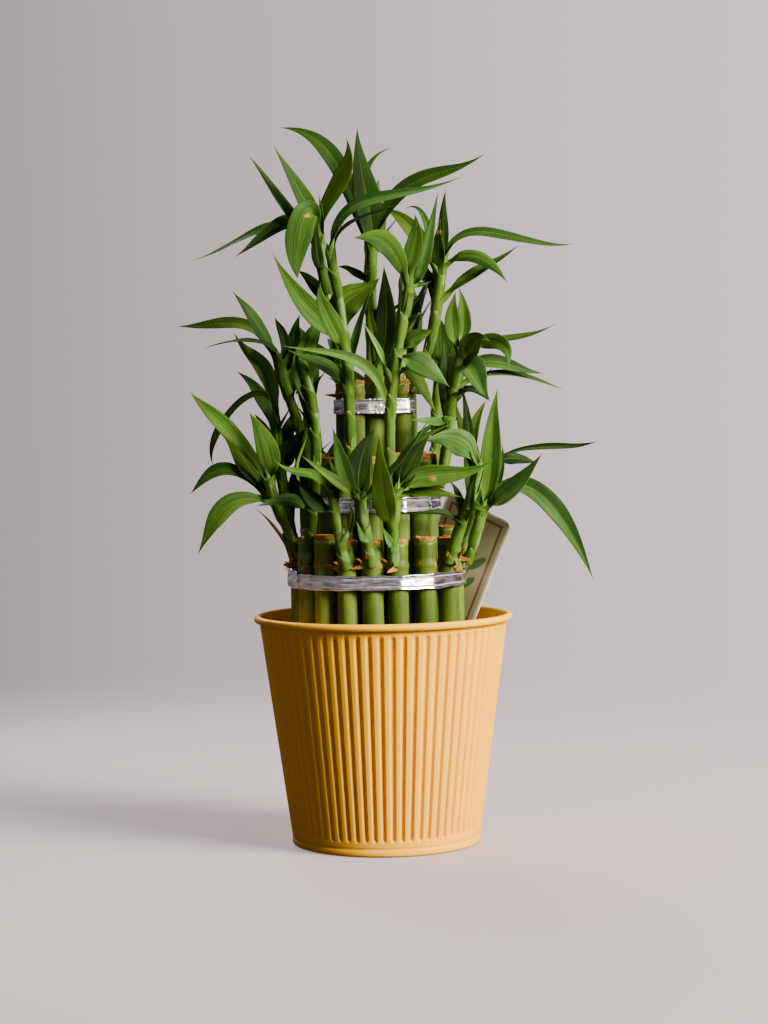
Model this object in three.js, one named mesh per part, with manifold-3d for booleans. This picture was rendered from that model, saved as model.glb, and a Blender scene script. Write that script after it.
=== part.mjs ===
// Lucky bamboo: three tiers of cut canes tied with foil, their leafy shoots, and the ribbed
// metal pot that they stand in. Millimetres, +Z up, seen from the front along +Y.
// The origin is the middle of the pot's underside, on the surface that the pot stands on.

import * as THREE from "three";
import { mergeVertices } from "three/addons/utils/BufferGeometryUtils.js";
import Module from "manifold-3d";

const wasm = await Module();
wasm.setup();

// Driving dimensions of the pot.
const POT_HEIGHT = 133;
const RIM_RADIUS = 75;
const RIM_BEAD = 2.1;
const WALL_TOP_RADIUS = 71.6;
const WALL_TOP_Z = 127;
const WALL_FOOT_RADIUS = 54.8;
const WALL_FOOT_Z = 5;
const RIB_COUNT = 68;
const RIB_DEPTH = 1.5;
const RIB_LOW_Z = 7;
const RIB_HIGH_Z = 123;
const RIB_FADE = 4;
const SHEET = 1.1;
const SEAM_DEPTH = 1.2;

// Soil in the pot.
const SOIL_TOP = 110;
const SOIL_GAP = 0.45;
const SOIL_SIDES = 34;
const HOLE_GAP = 0.35;

// Canes of the three tiers.
const BUNDLE_X = -3.3;
const CANE_RADIUS = 6.2;
const CANE_SIDES = 8;
const CANE_FOOT_Z = 33;
const NODE_SWELL = 0.7;
const NODE_RISE = 2.5;
const CUT_DISH = 0.6;
const TIERS = {
  outer: { radius: 44.3, top: 180, node: 164, wander: 3.2 },
  middle: { radius: 30, top: 225, node: 209, wander: 2 },
  inner: { radius: 16.5, top: 268, node: 261, wander: 1.5 },
};
// Degrees round the bundle, from the front towards +X, as the canes stand in the real bundle.
const CANE_ANGLES = {
  outer: [-3, 15.5, 38.5, 68, 91, 112, 133, 154, 175, 196, 217, 238, 259, 279, 299, 319, 338.5],
  middle: [-4, 26, 56, 86, 116, 146, 176, 206, 236, 266, 296, 326],
  inner: [-44, 80, 140, 200, 260],
};

// Foil ties round the tiers.
const TIE_HEIGHT = 8.5;
const TIE_SHEET = 0.8;
const TIE_GAP = 0.35;
const TIE_SIDES = 36;
const TIE_MIDDLE_Z = { outer: 154, middle: 197, inner: 253 };

// Care card behind the canes on the right.
const CARD_WIDTH = 46;
const CARD_LENGTH = 100;
const CARD_SHEET = 0.8;
const CARD_CORNER = 4;
const CARD_LEAN = 24;
const CARD_BEARING = 150;
const CARD_FROM_BUNDLE = 53.4;
const CARD_TOP_CORNER = { along: 61.2, z: 183.1 };

// The front of the plant is laid out as an eye in front of it sees it.
const EYE = { x: 1.4, distance: 1400, z: 255 };

// Shoots and leaves.
const STALK_SIDES = 5;
const STALK_RADIUS_FOOT = 3.7;
const STALK_RADIUS_TOP = 2.7;
const LEAF_THICKNESS = 1.1;
const LEAF_FOLD = 0.3;
const LEAF_STATIONS = [0.27, 0.56, 0.83];
const LEAF_ROOT_DEPTH = 3.5;
const CLEARANCE = 4.3;
const LEAST_CLEARANCE = 3.4;
const STALK_SLACK = 1.4;
const CANE_SLACK = 2;
const SAMPLE_STEP = 5;
const SEEDS = { canes: 20711, soil: 517, shoots: 4243 };

const rad = THREE.MathUtils.degToRad;
const vec = (x, y, z) => new THREE.Vector3(x, y, z);

// Repeatable draws between two values, one run of them for each seed.
const DRAW_FACTOR = 16807;
const DRAW_MODULUS = 2147483647;
function draws(seed) {
  let state = seed;
  return (low, high) => {
    state = (state * DRAW_FACTOR) % DRAW_MODULUS;
    return low + ((high - low) * state) / DRAW_MODULUS;
  };
}

// A point that the eye sees at (x, z) of the plane through the pot's axis, at depth y.
function sight(x, z, y) {
  const reach = (EYE.distance + y) / EYE.distance;
  return vec(EYE.x + (x - EYE.x) * reach, y, EYE.z + (z - EYE.z) * reach);
}

// One cubic through four points, met at 0, 1/3, 2/3 and 1.
function cubicThrough(p0, a, b, p3) {
  const c1 = vec(0, 0, 0)
    .addScaledVector(p0, -5)
    .addScaledVector(a, 18)
    .addScaledVector(b, -9)
    .addScaledVector(p3, 2)
    .divideScalar(6);
  const c2 = vec(0, 0, 0)
    .addScaledVector(p0, 2)
    .addScaledVector(a, -9)
    .addScaledVector(b, 18)
    .addScaledVector(p3, -5)
    .divideScalar(6);
  return new THREE.CubicBezierCurve3(p0, c1, c2, p3);
}

// A closed shell, put together from rings of points.
class Shell {
  constructor() {
    this.points = [];
    this.faces = [];
  }

  ring(points) {
    const first = this.points.length;
    this.points.push(...points);
    return points.map((point, index) => first + index);
  }

  // Joins two rings; the outer one may have several points for each point of the other.
  bridge(low, high) {
    const sides = Math.min(low.length, high.length);
    const lowSteps = low.length / sides;
    const highSteps = high.length / sides;
    for (let side = 0; side < sides; side += 1) {
      const l = (k) => low[(side * lowSteps + k) % low.length];
      const h = (k) => high[(side * highSteps + k) % high.length];
      for (let k = 0; k < lowSteps; k += 1) this.faces.push([l(k), l(k + 1), h(0)]);
      for (let k = 0; k < highSteps; k += 1) this.faces.push([l(lowSteps), h(k + 1), h(k)]);
    }
  }

  // Closes a ring to one point; upward tells whether the ring turns round it from outside.
  close(ring, point, upward) {
    const centre = this.ring([point])[0];
    ring.forEach((index, side) => {
      const next = ring[(side + 1) % ring.length];
      this.faces.push(upward ? [index, next, centre] : [next, index, centre]);
    });
  }

  geometry() {
    const geometry = new THREE.BufferGeometry();
    const flat = this.points.flatMap((point) => [point.x, point.y, point.z]);
    geometry.setAttribute("position", new THREE.Float32BufferAttribute(flat, 3));
    geometry.setIndex(this.faces.flat());
    return geometry;
  }
}

// Geometry to solid and back.
function toSolid(geometry) {
  const bare = geometry.clone();
  bare.deleteAttribute("normal");
  bare.deleteAttribute("uv");
  const merged = mergeVertices(bare, 1e-4);
  return new wasm.Manifold(
    new wasm.Mesh({
      numProp: 3,
      vertProperties: new Float32Array(merged.attributes.position.array),
      triVerts: new Uint32Array(merged.index.array),
    }),
  );
}

function toGeometry(solid) {
  const mesh = solid.getMesh();
  const geometry = new THREE.BufferGeometry();
  geometry.setAttribute("position", new THREE.BufferAttribute(mesh.vertProperties, 3));
  geometry.setIndex(new THREE.BufferAttribute(mesh.triVerts, 1));
  return geometry;
}

// One body of all the solids; a pocket that they seal between them is filled.
function joined(solids) {
  const shells = solids.reduce((whole, solid) => whole.add(solid)).decompose();
  return shells.reduce((whole, shell) => (shell.volume() > whole.volume() ? shell : whole));
}

const cutters = (solids) => solids.reduce((whole, solid) => whole.add(solid));

// A turned solid about a vertical line, from a profile of [radius, z] that starts and ends on it.
function turned(profile, sides, x, y) {
  const outline = profile.map(([radius, z]) => new THREE.Vector2(radius, z));
  return new THREE.LatheGeometry(outline, sides).rotateX(Math.PI / 2).translate(x, y, 0);
}

// Pot: pressed sheet with upright ribs, a rolled rim and a seam round its foot.

const wallRadius = (z) =>
  WALL_FOOT_RADIUS +
  ((WALL_TOP_RADIUS - WALL_FOOT_RADIUS) * (z - WALL_FOOT_Z)) / (WALL_TOP_Z - WALL_FOOT_Z);

function circle(radius, z, sides) {
  return Array.from({ length: sides }, (_, side) => {
    const turn = (2 * Math.PI * side) / sides;
    return vec(radius * Math.cos(turn), radius * Math.sin(turn), z);
  });
}

// Four points to a rib: two on its flat crest, two on the floor of the groove beside it.
const RIB_STEPS = [0, 0.52, 0.66, 0.86];
function ribbedCircle(z) {
  return Array.from({ length: RIB_COUNT * RIB_STEPS.length }, (_, index) => {
    const step = index % RIB_STEPS.length;
    const rib = Math.floor(index / RIB_STEPS.length);
    const turn = (2 * Math.PI * (rib + RIB_STEPS[step])) / RIB_COUNT;
    const radius = wallRadius(z) - (step < 2 ? 0 : RIB_DEPTH);
    return vec(radius * Math.cos(turn), radius * Math.sin(turn), z);
  });
}

function potSolid() {
  const shell = new Shell();
  const seam = WALL_FOOT_RADIUS;
  const beadRadius = RIM_RADIUS - RIM_BEAD;
  const beadZ = POT_HEIGHT - RIM_BEAD;
  const bead = [-110, -50, 0, 50, 110, 165].map((degrees) => [
    beadRadius + RIM_BEAD * Math.cos(rad(degrees)),
    beadZ + RIM_BEAD * Math.sin(rad(degrees)),
  ]);
  const plain = ([radius, z]) => shell.ring(circle(radius, z, RIB_COUNT));
  const coarse = ([radius, z]) => shell.ring(circle(radius, z, RIB_COUNT / 2));
  const groove = RIB_DEPTH + SHEET;
  const underside = [
    [46.5, 0],
    [47.8, SEAM_DEPTH],
    [49.8, SEAM_DEPTH],
    [51, 0],
  ].map(coarse);
  const foot = [
    [seam - 1.4, 0],
    [seam, 1.4],
    [wallRadius(RIB_LOW_Z) - 0.4, RIB_LOW_Z - 1.5],
  ].map(plain);
  const ribs = [RIB_LOW_Z + RIB_FADE, RIB_HIGH_Z - RIB_FADE].map((z) => shell.ring(ribbedCircle(z)));
  const upper = [[wallRadius(RIB_HIGH_Z), RIB_HIGH_Z], ...bead].map(plain);
  const inside = [
    [WALL_TOP_RADIUS - SHEET - 0.4, WALL_TOP_Z],
    [wallRadius(RIB_HIGH_Z - RIB_FADE) - groove, RIB_HIGH_Z - RIB_FADE],
    [wallRadius(RIB_LOW_Z) - groove, RIB_LOW_Z],
    [wallRadius(RIB_LOW_Z) - groove - 2.2, SEAM_DEPTH + SHEET + 0.2],
  ].map(coarse);
  const rings = [...underside, ...foot, ...ribs, ...upper, ...inside];
  shell.close(rings[0], vec(0, 0, 0), false);
  rings.slice(1).forEach((ring, index) => shell.bridge(rings[index], ring));
  shell.close(rings[rings.length - 1], vec(0, 0, SEAM_DEPTH + SHEET + 0.2), true);
  return toSolid(shell.geometry());
}

// Canes: place, cut top and swollen ring of each.

function makeCanes() {
  const draw = draws(SEEDS.canes);
  const canes = {};
  Object.entries(TIERS).forEach(([tier, { radius, top, node, wander }]) => {
    CANE_ANGLES[tier].forEach((degrees, index) => {
      const turn = rad(degrees);
      const name = `cane_${tier}_${String(index + 1).padStart(2, "0")}`;
      const shift = draw(-wander, wander);
      canes[name] = {
        tier,
        turn,
        x: BUNDLE_X + radius * Math.sin(turn),
        y: -radius * Math.cos(turn),
        top: top + shift,
        node: node + shift * 0.4,
      };
    });
  });
  const { inner } = TIERS;
  canes.cane_centre = { tier: "inner", turn: 0, x: BUNDLE_X, y: 0, top: inner.top + 2, node: inner.node };
  return canes;
}

function caneGeometry({ x, y, top, node }) {
  const profile = [
    [0, CANE_FOOT_Z],
    [CANE_RADIUS, CANE_FOOT_Z],
    [CANE_RADIUS, node - NODE_RISE],
    [CANE_RADIUS + NODE_SWELL, node],
    [CANE_RADIUS, top],
    [0, top - CUT_DISH],
  ];
  return turned(profile, CANE_SIDES, x, y);
}

// Soil: fills the pot, heaped a little between the canes, with a plain hole for each cane.

function soilSolid(canes, cardSlot) {
  const draw = draws(SEEDS.soil);
  const shell = new Shell();
  const groove = RIB_DEPTH + SHEET + SOIL_GAP;
  const level = (radius, z, heave, sides = SOIL_SIDES) => {
    const points = circle(radius, z, sides);
    points.forEach((point) => {
      point.z += draw(-heave, heave);
    });
    return shell.ring(points);
  };
  const floor = SEAM_DEPTH + SHEET + 0.6;
  const rings = [
    level(wallRadius(RIB_LOW_Z) - groove - 3, floor, 0),
    level(wallRadius(RIB_LOW_Z + 1) - groove - 0.6, RIB_LOW_Z + 1, 0),
    level(wallRadius(SOIL_TOP - 4) - groove, SOIL_TOP - 4, 0),
    level(wallRadius(SOIL_TOP - 4) - groove - 3, SOIL_TOP, 1),
    level(57, SOIL_TOP + 1.5, 0, SOIL_SIDES / 2),
  ];
  shell.close(rings[0], vec(0, 0, floor), false);
  rings.slice(1).forEach((ring, index) => shell.bridge(rings[index], ring));
  shell.close(rings[rings.length - 1], vec(0, 0, SOIL_TOP + 1.5), true);
  const holes = Object.values(canes).map(({ x, y }) => {
    const radius = CANE_RADIUS + HOLE_GAP;
    const foot = CANE_FOOT_Z - HOLE_GAP;
    const above = SOIL_TOP + 9;
    return toSolid(turned([[0, foot], [radius, foot], [radius, above], [0, above]], CANE_SIDES, x, y));
  });
  return toSolid(shell.geometry()).subtract(cutters([...holes, cardSlot]));
}

// Ties: a flat band round the hull of a ring of canes, closed, or open with two ends.

function hullPoint(canes, turn, reach) {
  const x = Math.sin(turn);
  const y = -Math.cos(turn);
  const furthest = canes.reduce((best, cane) => (cane.x * x + cane.y * y > best.x * x + best.y * y ? cane : best));
  return [furthest.x + reach * x, furthest.y + reach * y];
}

function bandSolid(canes, turns, closed, reach, low, high) {
  const shell = new Shell();
  const sections = turns.map((turn) => {
    const [xIn, yIn] = hullPoint(canes, turn, reach);
    const [xOut, yOut] = hullPoint(canes, turn, reach + TIE_SHEET);
    return shell.ring([vec(xIn, yIn, low), vec(xOut, yOut, low), vec(xOut, yOut, high), vec(xIn, yIn, high)]);
  });
  sections.slice(1).forEach((section, index) => shell.bridge(section, sections[index]));
  const [first, last] = [sections[0], sections[sections.length - 1]];
  if (closed) {
    shell.bridge(first, last);
  } else {
    shell.faces.push([first[0], first[1], first[2]], [first[0], first[2], first[3]]);
    shell.faces.push([last[2], last[1], last[0]], [last[3], last[2], last[0]]);
  }
  return toSolid(shell.geometry());
}

function tieSolid(canes, tier, tail) {
  const ring = Object.values(canes).filter((cane) => cane.tier === tier);
  const turns = Array.from({ length: TIE_SIDES }, (_, side) => (2 * Math.PI * side) / TIE_SIDES);
  const reach = CANE_RADIUS + TIE_GAP;
  const middle = TIE_MIDDLE_Z[tier];
  const half = TIE_HEIGHT / 2;
  const band = bandSolid(ring, turns, true, reach, middle - half, middle + half);
  const tailTurns = Array.from({ length: 5 }, (_, step) => rad(tail.from + ((tail.to - tail.from) * step) / 4));
  const lap = TIE_SHEET * 0.7;
  const end = bandSolid(ring, tailTurns, false, reach + lap, middle - half + tail.rise, middle + half + tail.rise);
  return band.add(end);
}

// Care card: a thin plate with round corners that leans against the back of the bundle.

// The card is drawn upright with its top edge on the x axis, then leant, set up and turned.
function cardPlacement() {
  const bearing = rad(CARD_BEARING);
  const lean = rad(CARD_LEAN);
  const half = CARD_WIDTH / 2;
  const steps = [
    new THREE.Matrix4().makeRotationZ(-lean),
    new THREE.Matrix4().makeRotationX(Math.PI / 2),
    new THREE.Matrix4().makeTranslation(
      CARD_TOP_CORNER.along - half * Math.cos(lean),
      0,
      CARD_TOP_CORNER.z + half * Math.sin(lean),
    ),
    new THREE.Matrix4().makeRotationZ(bearing - Math.PI),
    new THREE.Matrix4().makeTranslation(
      BUNDLE_X + CARD_FROM_BUNDLE * Math.sin(bearing),
      -CARD_FROM_BUNDLE * Math.cos(bearing),
      0,
    ),
  ];
  return steps.reduce((whole, step) => step.clone().multiply(whole), new THREE.Matrix4());
}

function cardGeometry(spare) {
  const half = CARD_WIDTH / 2 + spare;
  const corner = CARD_CORNER;
  const length = CARD_LENGTH + spare;
  const outline = new THREE.Shape();
  outline.moveTo(-half, -length);
  outline.lineTo(half, -length);
  outline.lineTo(half, -corner);
  outline.quadraticCurveTo(half, 0, half - corner, 0);
  outline.lineTo(-half + corner, 0);
  outline.quadraticCurveTo(-half, 0, -half, -corner);
  const depth = CARD_SHEET + 2 * spare;
  const plate = new THREE.ExtrudeGeometry(outline, { depth, bevelEnabled: false, curveSegments: 3 });
  return plate.translate(0, 0, -depth / 2).applyMatrix4(cardPlacement());
}

// Clear way: what stands already, as sample points with the room that each needs.

const standing = [];
function stand(owner, points, room) {
  const box = new THREE.Box3().setFromPoints(points).expandByScalar(room);
  standing.push({ owner, points, room, box });
}

// Smallest spare distance between the sample points and everything that another owner has.
function spareRoom(owner, points, need) {
  const box = new THREE.Box3().setFromPoints(points).expandByScalar(need);
  let least = Infinity;
  standing.forEach((group) => {
    if (group.owner === owner || !group.box.intersectsBox(box)) return;
    group.points.forEach((other) => {
      points.forEach((point) => {
        least = Math.min(least, point.distanceTo(other) - group.room);
      });
    });
  });
  return least;
}

// Stalks: the leafy shoots that grow from the canes' rings.

class Stalk {
  constructor(owner, curve, foot = STALK_RADIUS_FOOT, top = STALK_RADIUS_TOP) {
    this.owner = owner;
    this.curve = curve;
    this.radius = (t) => foot + (top - foot) * t;
  }

  samples() {
    const count = Math.ceil(this.curve.getLength() / SAMPLE_STEP);
    return Array.from({ length: count + 1 }, (_, index) => this.curve.getPoint(index / count));
  }

  solid() {
    const shell = new Shell();
    const stations = [0, 0.33, 0.67, 1];
    const rings = stations.map((t) => {
      const centre = this.curve.getPoint(t);
      const ahead = this.curve.getTangent(t);
      const across = vec(0, -1, 0).cross(ahead).normalize();
      const up = ahead.clone().cross(across);
      return shell.ring(
        Array.from({ length: STALK_SIDES }, (_, side) => {
          const turn = (2 * Math.PI * side) / STALK_SIDES;
          return centre
            .clone()
            .addScaledVector(across, this.radius(t) * Math.cos(turn))
            .addScaledVector(up, this.radius(t) * Math.sin(turn));
        }),
      );
    });
    shell.close(rings[0], this.curve.getPoint(0), false);
    rings.slice(1).forEach((ring, index) => shell.bridge(rings[index], ring));
    const tip = this.curve.getPoint(1).addScaledVector(this.curve.getTangent(1), 2 * this.radius(1));
    shell.close(rings[rings.length - 1], tip, true);
    return toSolid(shell.geometry());
  }
}

// Leaves: a lance-shaped blade along a curve, folded upwards along its midrib.

// Share of the full width at t: a narrow root, widest at the belly, drawn out to a fine tip.
function bladeWidth(t, belly) {
  const root = 0.3;
  if (t < belly) return root + (1 - root) * Math.sin((Math.PI / 2) * (t / belly)) ** 1.3;
  const u = (t - belly) / (1 - belly);
  return (1 - u ** 1.7) ** 1.2;
}

class Leaf {
  constructor(owner, curve, shape) {
    this.owner = owner;
    this.curve = curve;
    Object.assign(this, { belly: 0.42, face: vec(0, -1, 0), ...shape });
    const chord = curve.v3.clone().sub(curve.v0);
    this.hand = chord.x < 0 ? 1 : -1;
  }

  // Across and face directions of the blade at t.
  frame(t) {
    const ahead = this.curve.getTangent(t);
    const front = this.face.clone().addScaledVector(ahead, -this.face.dot(ahead)).normalize();
    const side = ahead.clone().cross(front).multiplyScalar(this.hand);
    const tilt = rad(this.tilt);
    const face = front.multiplyScalar(Math.cos(tilt)).addScaledVector(side, Math.sin(tilt));
    return { face, across: ahead.clone().cross(face) };
  }

  section(t) {
    const { face, across } = this.frame(t);
    const half = (this.width / 2) * bladeWidth(t, this.belly);
    const lift = half * LEAF_FOLD * (1 - 0.5 * t);
    const centre = this.curve.getPoint(t);
    const at = (s, up) => centre.clone().addScaledVector(across, s).addScaledVector(face, up);
    const thick = (LEAF_THICKNESS / 2) * (1.8 - t);
    return [at(-half, lift), at(0, thick), at(half, lift), at(0, -thick)];
  }

  samples() {
    const count = Math.max(6, Math.round(this.curve.getLength() / SAMPLE_STEP));
    const steps = this.width > 9 ? [-1, -0.5, 0, 0.5, 1] : [-1, 0, 1];
    const points = [];
    for (let index = 1; index <= count; index += 1) {
      const t = index / count;
      const [left, , right] = this.section(t);
      const centre = this.curve.getPoint(t);
      steps.forEach((s) => points.push(centre.clone().lerp(s < 0 ? left : right, Math.abs(s))));
    }
    return points;
  }

  solid() {
    const shell = new Shell();
    const rings = LEAF_STATIONS.map((t) => shell.ring(this.section(t)));
    const root = this.curve.getPoint(0).addScaledVector(this.curve.getTangent(0), -LEAF_ROOT_DEPTH);
    shell.close(rings[0], root, false);
    rings.slice(1).forEach((ring, index) => shell.bridge(rings[index], ring));
    shell.close(rings[rings.length - 1], this.curve.getPoint(1), true);
    return toSolid(shell.geometry());
  }
}

// The front shoots. A stalk is [x, z] of its foot, two points on the way and its top, with
// the depths of foot and top. A leaf is [place on the stalk, x, z, x, z, tip x, tip z, depth of
// the tip, width, tilt of its face from the front upwards, and where it is widest].
const FRONT_SHOOTS = [
  {
    cane: "cane_outer_14",
    stalk: [-49, 162, -53, 177, -60, 195, -65, 211],
    depth: [-9, -26],
    leaves: [
      [0.75, -82, 200, -94.5, 190.5, -107, 168.5, -40, 12.5, 25, 0.66],
      [1, -64.5, 223, -69, 238, -76, 251, -34, 13, 10],
      [0.8, -76, 218, -83, 229, -93, 239, -8, 14, 30],
      [0.95, -80, 232, -96, 249, -110, 263, -22, 9.5, 15, 0.55],
      [0.7, -84.5, 217, -99.5, 215, -111, 203.5, -14, 8, 20, 0.55],
      [0.9, -64, 226, -67, 240, -73, 250, 6, 9, 10],
      [0.02, -57, 176, -64, 186, -74, 196, -12, 3.5, 50],
    ],
  },
  {
    cane: "cane_outer_13",
    stalk: [-50, 162, -54, 190, -58, 215, -59.5, 240],
    depth: [6, 2],
    leaves: [
      [0.97, -66, 254, -73, 266, -83, 274.5, 6, 9, 25],
      [1, -64.5, 271, -74, 284, -84, 297.5, -6, 10.5, 10],
      [1, -71, 261.3, -91, 245, -97, 220, -2, 6, 40, 0.72],
      [0.6, -61, 232, -57, 244, -51.5, 255, -16, 4.5, 50],
    ],
  },
  {
    cane: "cane_middle_10",
    stalk: [-37, 206, -44, 232, -52, 257, -58, 280],
    depth: [0, -6],
    leaves: [
      [0.98, -74, 299.5, -94, 302, -117, 301, 24, 8.5, 35, 0.55],
      [1, -66, 294, -74, 307, -84.5, 321, -10, 9, 30, 0.58],
      [0.95, -54.5, 290, -57, 299, -60, 305.5, 6, 6, 20],
      [0.96, -66, 290, -83, 292, -101, 288, -18, 4.5, 60],
      [0.9, -62, 285, -68, 293, -74.5, 297.5, 10, 4, 40],
      [0.85, -51, 283, -48.5, 296, -45, 307, 12, 9, 10],
    ],
  },
  {
    cane: "cane_outer_15",
    stalk: [-43.5, 162, -39, 200, -37.5, 240, -45, 280],
    depth: [-27, -34],
    leaves: [
      [1, -40.5, 289, -36.5, 298, -31.5, 306, -30, 9.5, 15],
      [0.35, -49, 215, -46, 228, -42.5, 241, -44, 3.5, 60],
    ],
  },
  {
    cane: "cane_outer_17",
    stalk: [-20.5, 159, -24, 173, -26.5, 187, -28, 199],
    depth: [-46, -52],
    leaves: [
      [0.8, -37, 197, -44, 204, -50, 213, -52, 9.5, 20],
      [1, -38, 213, -50, 216, -63, 224.5, -58, 7, 40],
      [0.95, -26, 207, -27.5, 215, -30.5, 225, -50, 5, 10],
      [0.35, -18.5, 183, -17, 191, -19, 200, -58, 3.5, 20],
    ],
  },
  {
    cane: "cane_outer_01",
    stalk: [-6, 160, -8.5, 175, -11, 188, -12.5, 200],
    depth: [-48, -55],
    leaves: [
      [0.97, -22, 207, -34, 216, -47, 226, -72, 6.5, 30],
      [1, -20, 212, -24, 226, -28, 242, -60, 9.5, 10],
      [1, -13, 213, -10, 227, -2.5, 240.5, -50, 15, 0],
      [0.35, -11, 176, -13, 181, -15, 187, -60, 3.5, 20],
      [0.95, -9, 205, -7, 213, -5.5, 222.5, -66, 3.5, 10],
      [1, -0.5, 209, 15, 226, 29, 246.5, -74, 5, 30],
      [1, -11.5, 199, -11, 193, -11, 184, -68, 8.5, 0],
    ],
  },
  {
    cane: "cane_outer_02",
    stalk: [7, 160, 6.5, 174, 7, 188, 8.5, 203],
    depth: [-46.5, -54],
    leaves: [
      [0.5, 2, 196, 0, 214, -1, 238, -66, 13, 0],
      [1, 14, 213, 20.5, 225, 29, 235.5, -52, 11.5, 10],
      [0.97, 13, 223, 26, 235, 40, 242, -44, 6.5, 50],
      [0.2, 5, 173, 2.5, 178, 0, 184, -60, 4.5, 20],
      [0.98, 25, 211.5, 45, 213.3, 65.5, 221.5, -60, 12, 10, 0.4],
      [0.95, 23, 203, 35, 202, 47, 199.5, -50, 7, 40],
    ],
  },
  {
    cane: "cane_outer_04",
    stalk: [38.5, 162.5, 44, 178, 51, 197, 57, 216],
    depth: [-21, -38],
    leaves: [
      [0.3, 48.5, 190.5, 54, 194, 60.5, 190, -42, 9, 30],
      [0.6, 51.5, 196, 53, 205, 57, 214, -44, 5, 20],
      [0.5, 46, 194, 44, 202, 39, 210, -30, 6, 20],
      [1, 49, 228.5, 38, 233.5, 24, 232, -38, 15, 10],
      [1, 52, 232, 50, 248, 47, 266, -34, 6, 10],
      [1, 53, 231, 56, 245, 62, 256, -24, 7, 15],
    ],
  },
  {
    cane: "cane_outer_05",
    stalk: [48.5, 162.5, 52.5, 171, 55.5, 182, 59, 193],
    depth: [0, -8],
    leaves: [
      [1, 70.7, 200.3, 82.5, 210.8, 94, 225, -26, 11, 15],
      [1, 63, 214, 65, 239, 68.5, 263, -14, 12.5, 0],
      [0.85, 79, 206.5, 102.3, 189.5, 122.5, 150, 4, 12, 15, 0.62],
      [0.95, 66, 205, 70, 218, 70.5, 230, 6, 5, 10],
    ],
  },
  {
    cane: "cane_outer_06",
    stalk: [44, 160, 52, 182, 59, 202, 65, 219],
    depth: [15, 17],
    leaves: [
      [1, 85, 227.2, 106, 228, 126, 231, -28, 5, 50, 0.6],
      [1, 73, 221.3, 82, 220.8, 91, 218.5, 20, 8, 30],
    ],
  },
  {
    cane: "cane_middle_02",
    stalk: [7, 206, 6, 246, 11, 285, 18, 321],
    depth: [-31, -38],
    leaves: [
      [1, 12, 337, 3, 348, -14, 350, -48, 12.5, 0, 0.66],
      [1, 20, 338, 22.5, 352, 21.5, 364, -42, 10.5, 10],
      [1, 26, 333, 31, 354, 36, 377, -36, 7, 20],
      [0.97, 21, 322, 26, 323, 31, 325, -24, 4, 30],
      [0.63, 21, 278.8, 31, 271.5, 40.5, 263.5, -54, 13, 10],
      [0.66, 18, 290, 25, 294, 32.5, 296.5, -36, 10, 25],
      [0.55, 18, 272, 26, 261, 32.5, 248, -40, 8, 15],
      [0.3, -5, 273, -27, 284, -58, 289, -58, 7, 25],
      [0.5, 1, 283, -4, 293, -10, 303, -42, 4, 30],
    ],
  },
  {
    cane: "cane_centre",
    stalk: [-1, 250, -2, 285, -3.5, 315, -3, 342],
    depth: [-7, -10],
    leaves: [
      [0.25, 3.5, 292, 4.5, 314, 3.5, 334.5, -18, 13, 0],
      [0.4, -3.5, 296, -5, 306, -4.5, 318, -22, 5, 10],
      [1, -4, 364, -8.4, 388, -10.5, 414, -14, 16, 0],
      [1, -5.5, 366, -5.5, 388, 10, 402, 0, 4.5, 20, 0.6],
      [1, 14, 376, 38, 387, 63.5, 398, -24, 11, 30],
      [1, -14, 373, -28.7, 401.3, -56, 414, 6, 11, 10, 0.6],
      [0.8, -10, 328, -17, 332.5, -24, 333, 2, 5.5, 30],
    ],
  },
  {
    cane: "cane_middle_12",
    stalk: [-17, 206, -17.5, 250, -20, 295, -28, 342],
    depth: [-30, -36],
    leaves: [
      [0.98, -15, 367, 13, 375.2, 51, 385, -52, 8, 30],
      [0.95, -21, 354, -6, 363, 15, 370, -40, 4, 60],
      [0.65, -33, 303, -47, 319, -61, 343, -60, 13, 10],
      [0.58, -25, 297, -32, 312, -33, 325, -50, 11, 10],
      [0.6, -21, 309, -10.5, 318.5, 1, 327.5, -28, 18, 10],
      [0.5, -14.5, 287, -10, 304, -3, 323, -48, 5.5, 35],
      [0.4, -27, 274, -38, 280, -54, 287, -44, 8, 20],
    ],
  },
  {
    cane: "cane_inner_01",
    stalk: [-18, 261, -24, 291, -30, 321, -34, 350],
    depth: [-14, -8],
    leaves: [
      [1, -47.5, 362, -60.8, 381, -74, 399, -20, 6.5, 20],
      [1, -38, 365, -47.8, 384, -59, 404, -30, 10, 15],
      [1, -28.3, 370.5, -18.3, 388, -17, 408, -30, 10, 10, 0.6],
      [0.97, -39.5, 366, -45.5, 349, -46, 327, -58, 16, 0, 0.62],
      [1, -50, 360, -66, 352, -83, 340, -12, 10, 20],
      [0.95, -57, 358, -82, 349, -107, 339, 8, 7, 45],
      [0.95, -31.5, 356, -32, 366, -33, 376, -20, 4, 50],
    ],
  },
  {
    cane: "cane_inner_02",
    stalk: [19.5, 261, 28, 284, 33, 306, 37, 332],
    depth: [-5, -14],
    leaves: [
      [1, 54, 352, 83, 348, 114, 345, -10, 6.5, 30, 0.5],
      [1, 50, 338.7, 63.2, 335, 75, 322.5, -26, 8, 20, 0.55],
      [0.75, 52, 326.5, 67, 335, 82, 345, -20, 7.5, 35],
      [1, 38, 348, 38.3, 363, 40, 378, -12, 6.5, 0],
      [0.85, 35.5, 338, 35.3, 349, 36.5, 360, -24, 7.5, 10],
      [0.95, 24, 349, 14, 361, 4, 366.5, -12, 10, 10],
      [0.8, 27, 328, 17, 338, 6, 356, 2, 8, 10],
    ],
  },
  {
    cane: "cane_middle_04",
    stalk: [33, 206, 39, 234, 42, 260, 49, 284],
    depth: [-6, -24],
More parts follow.
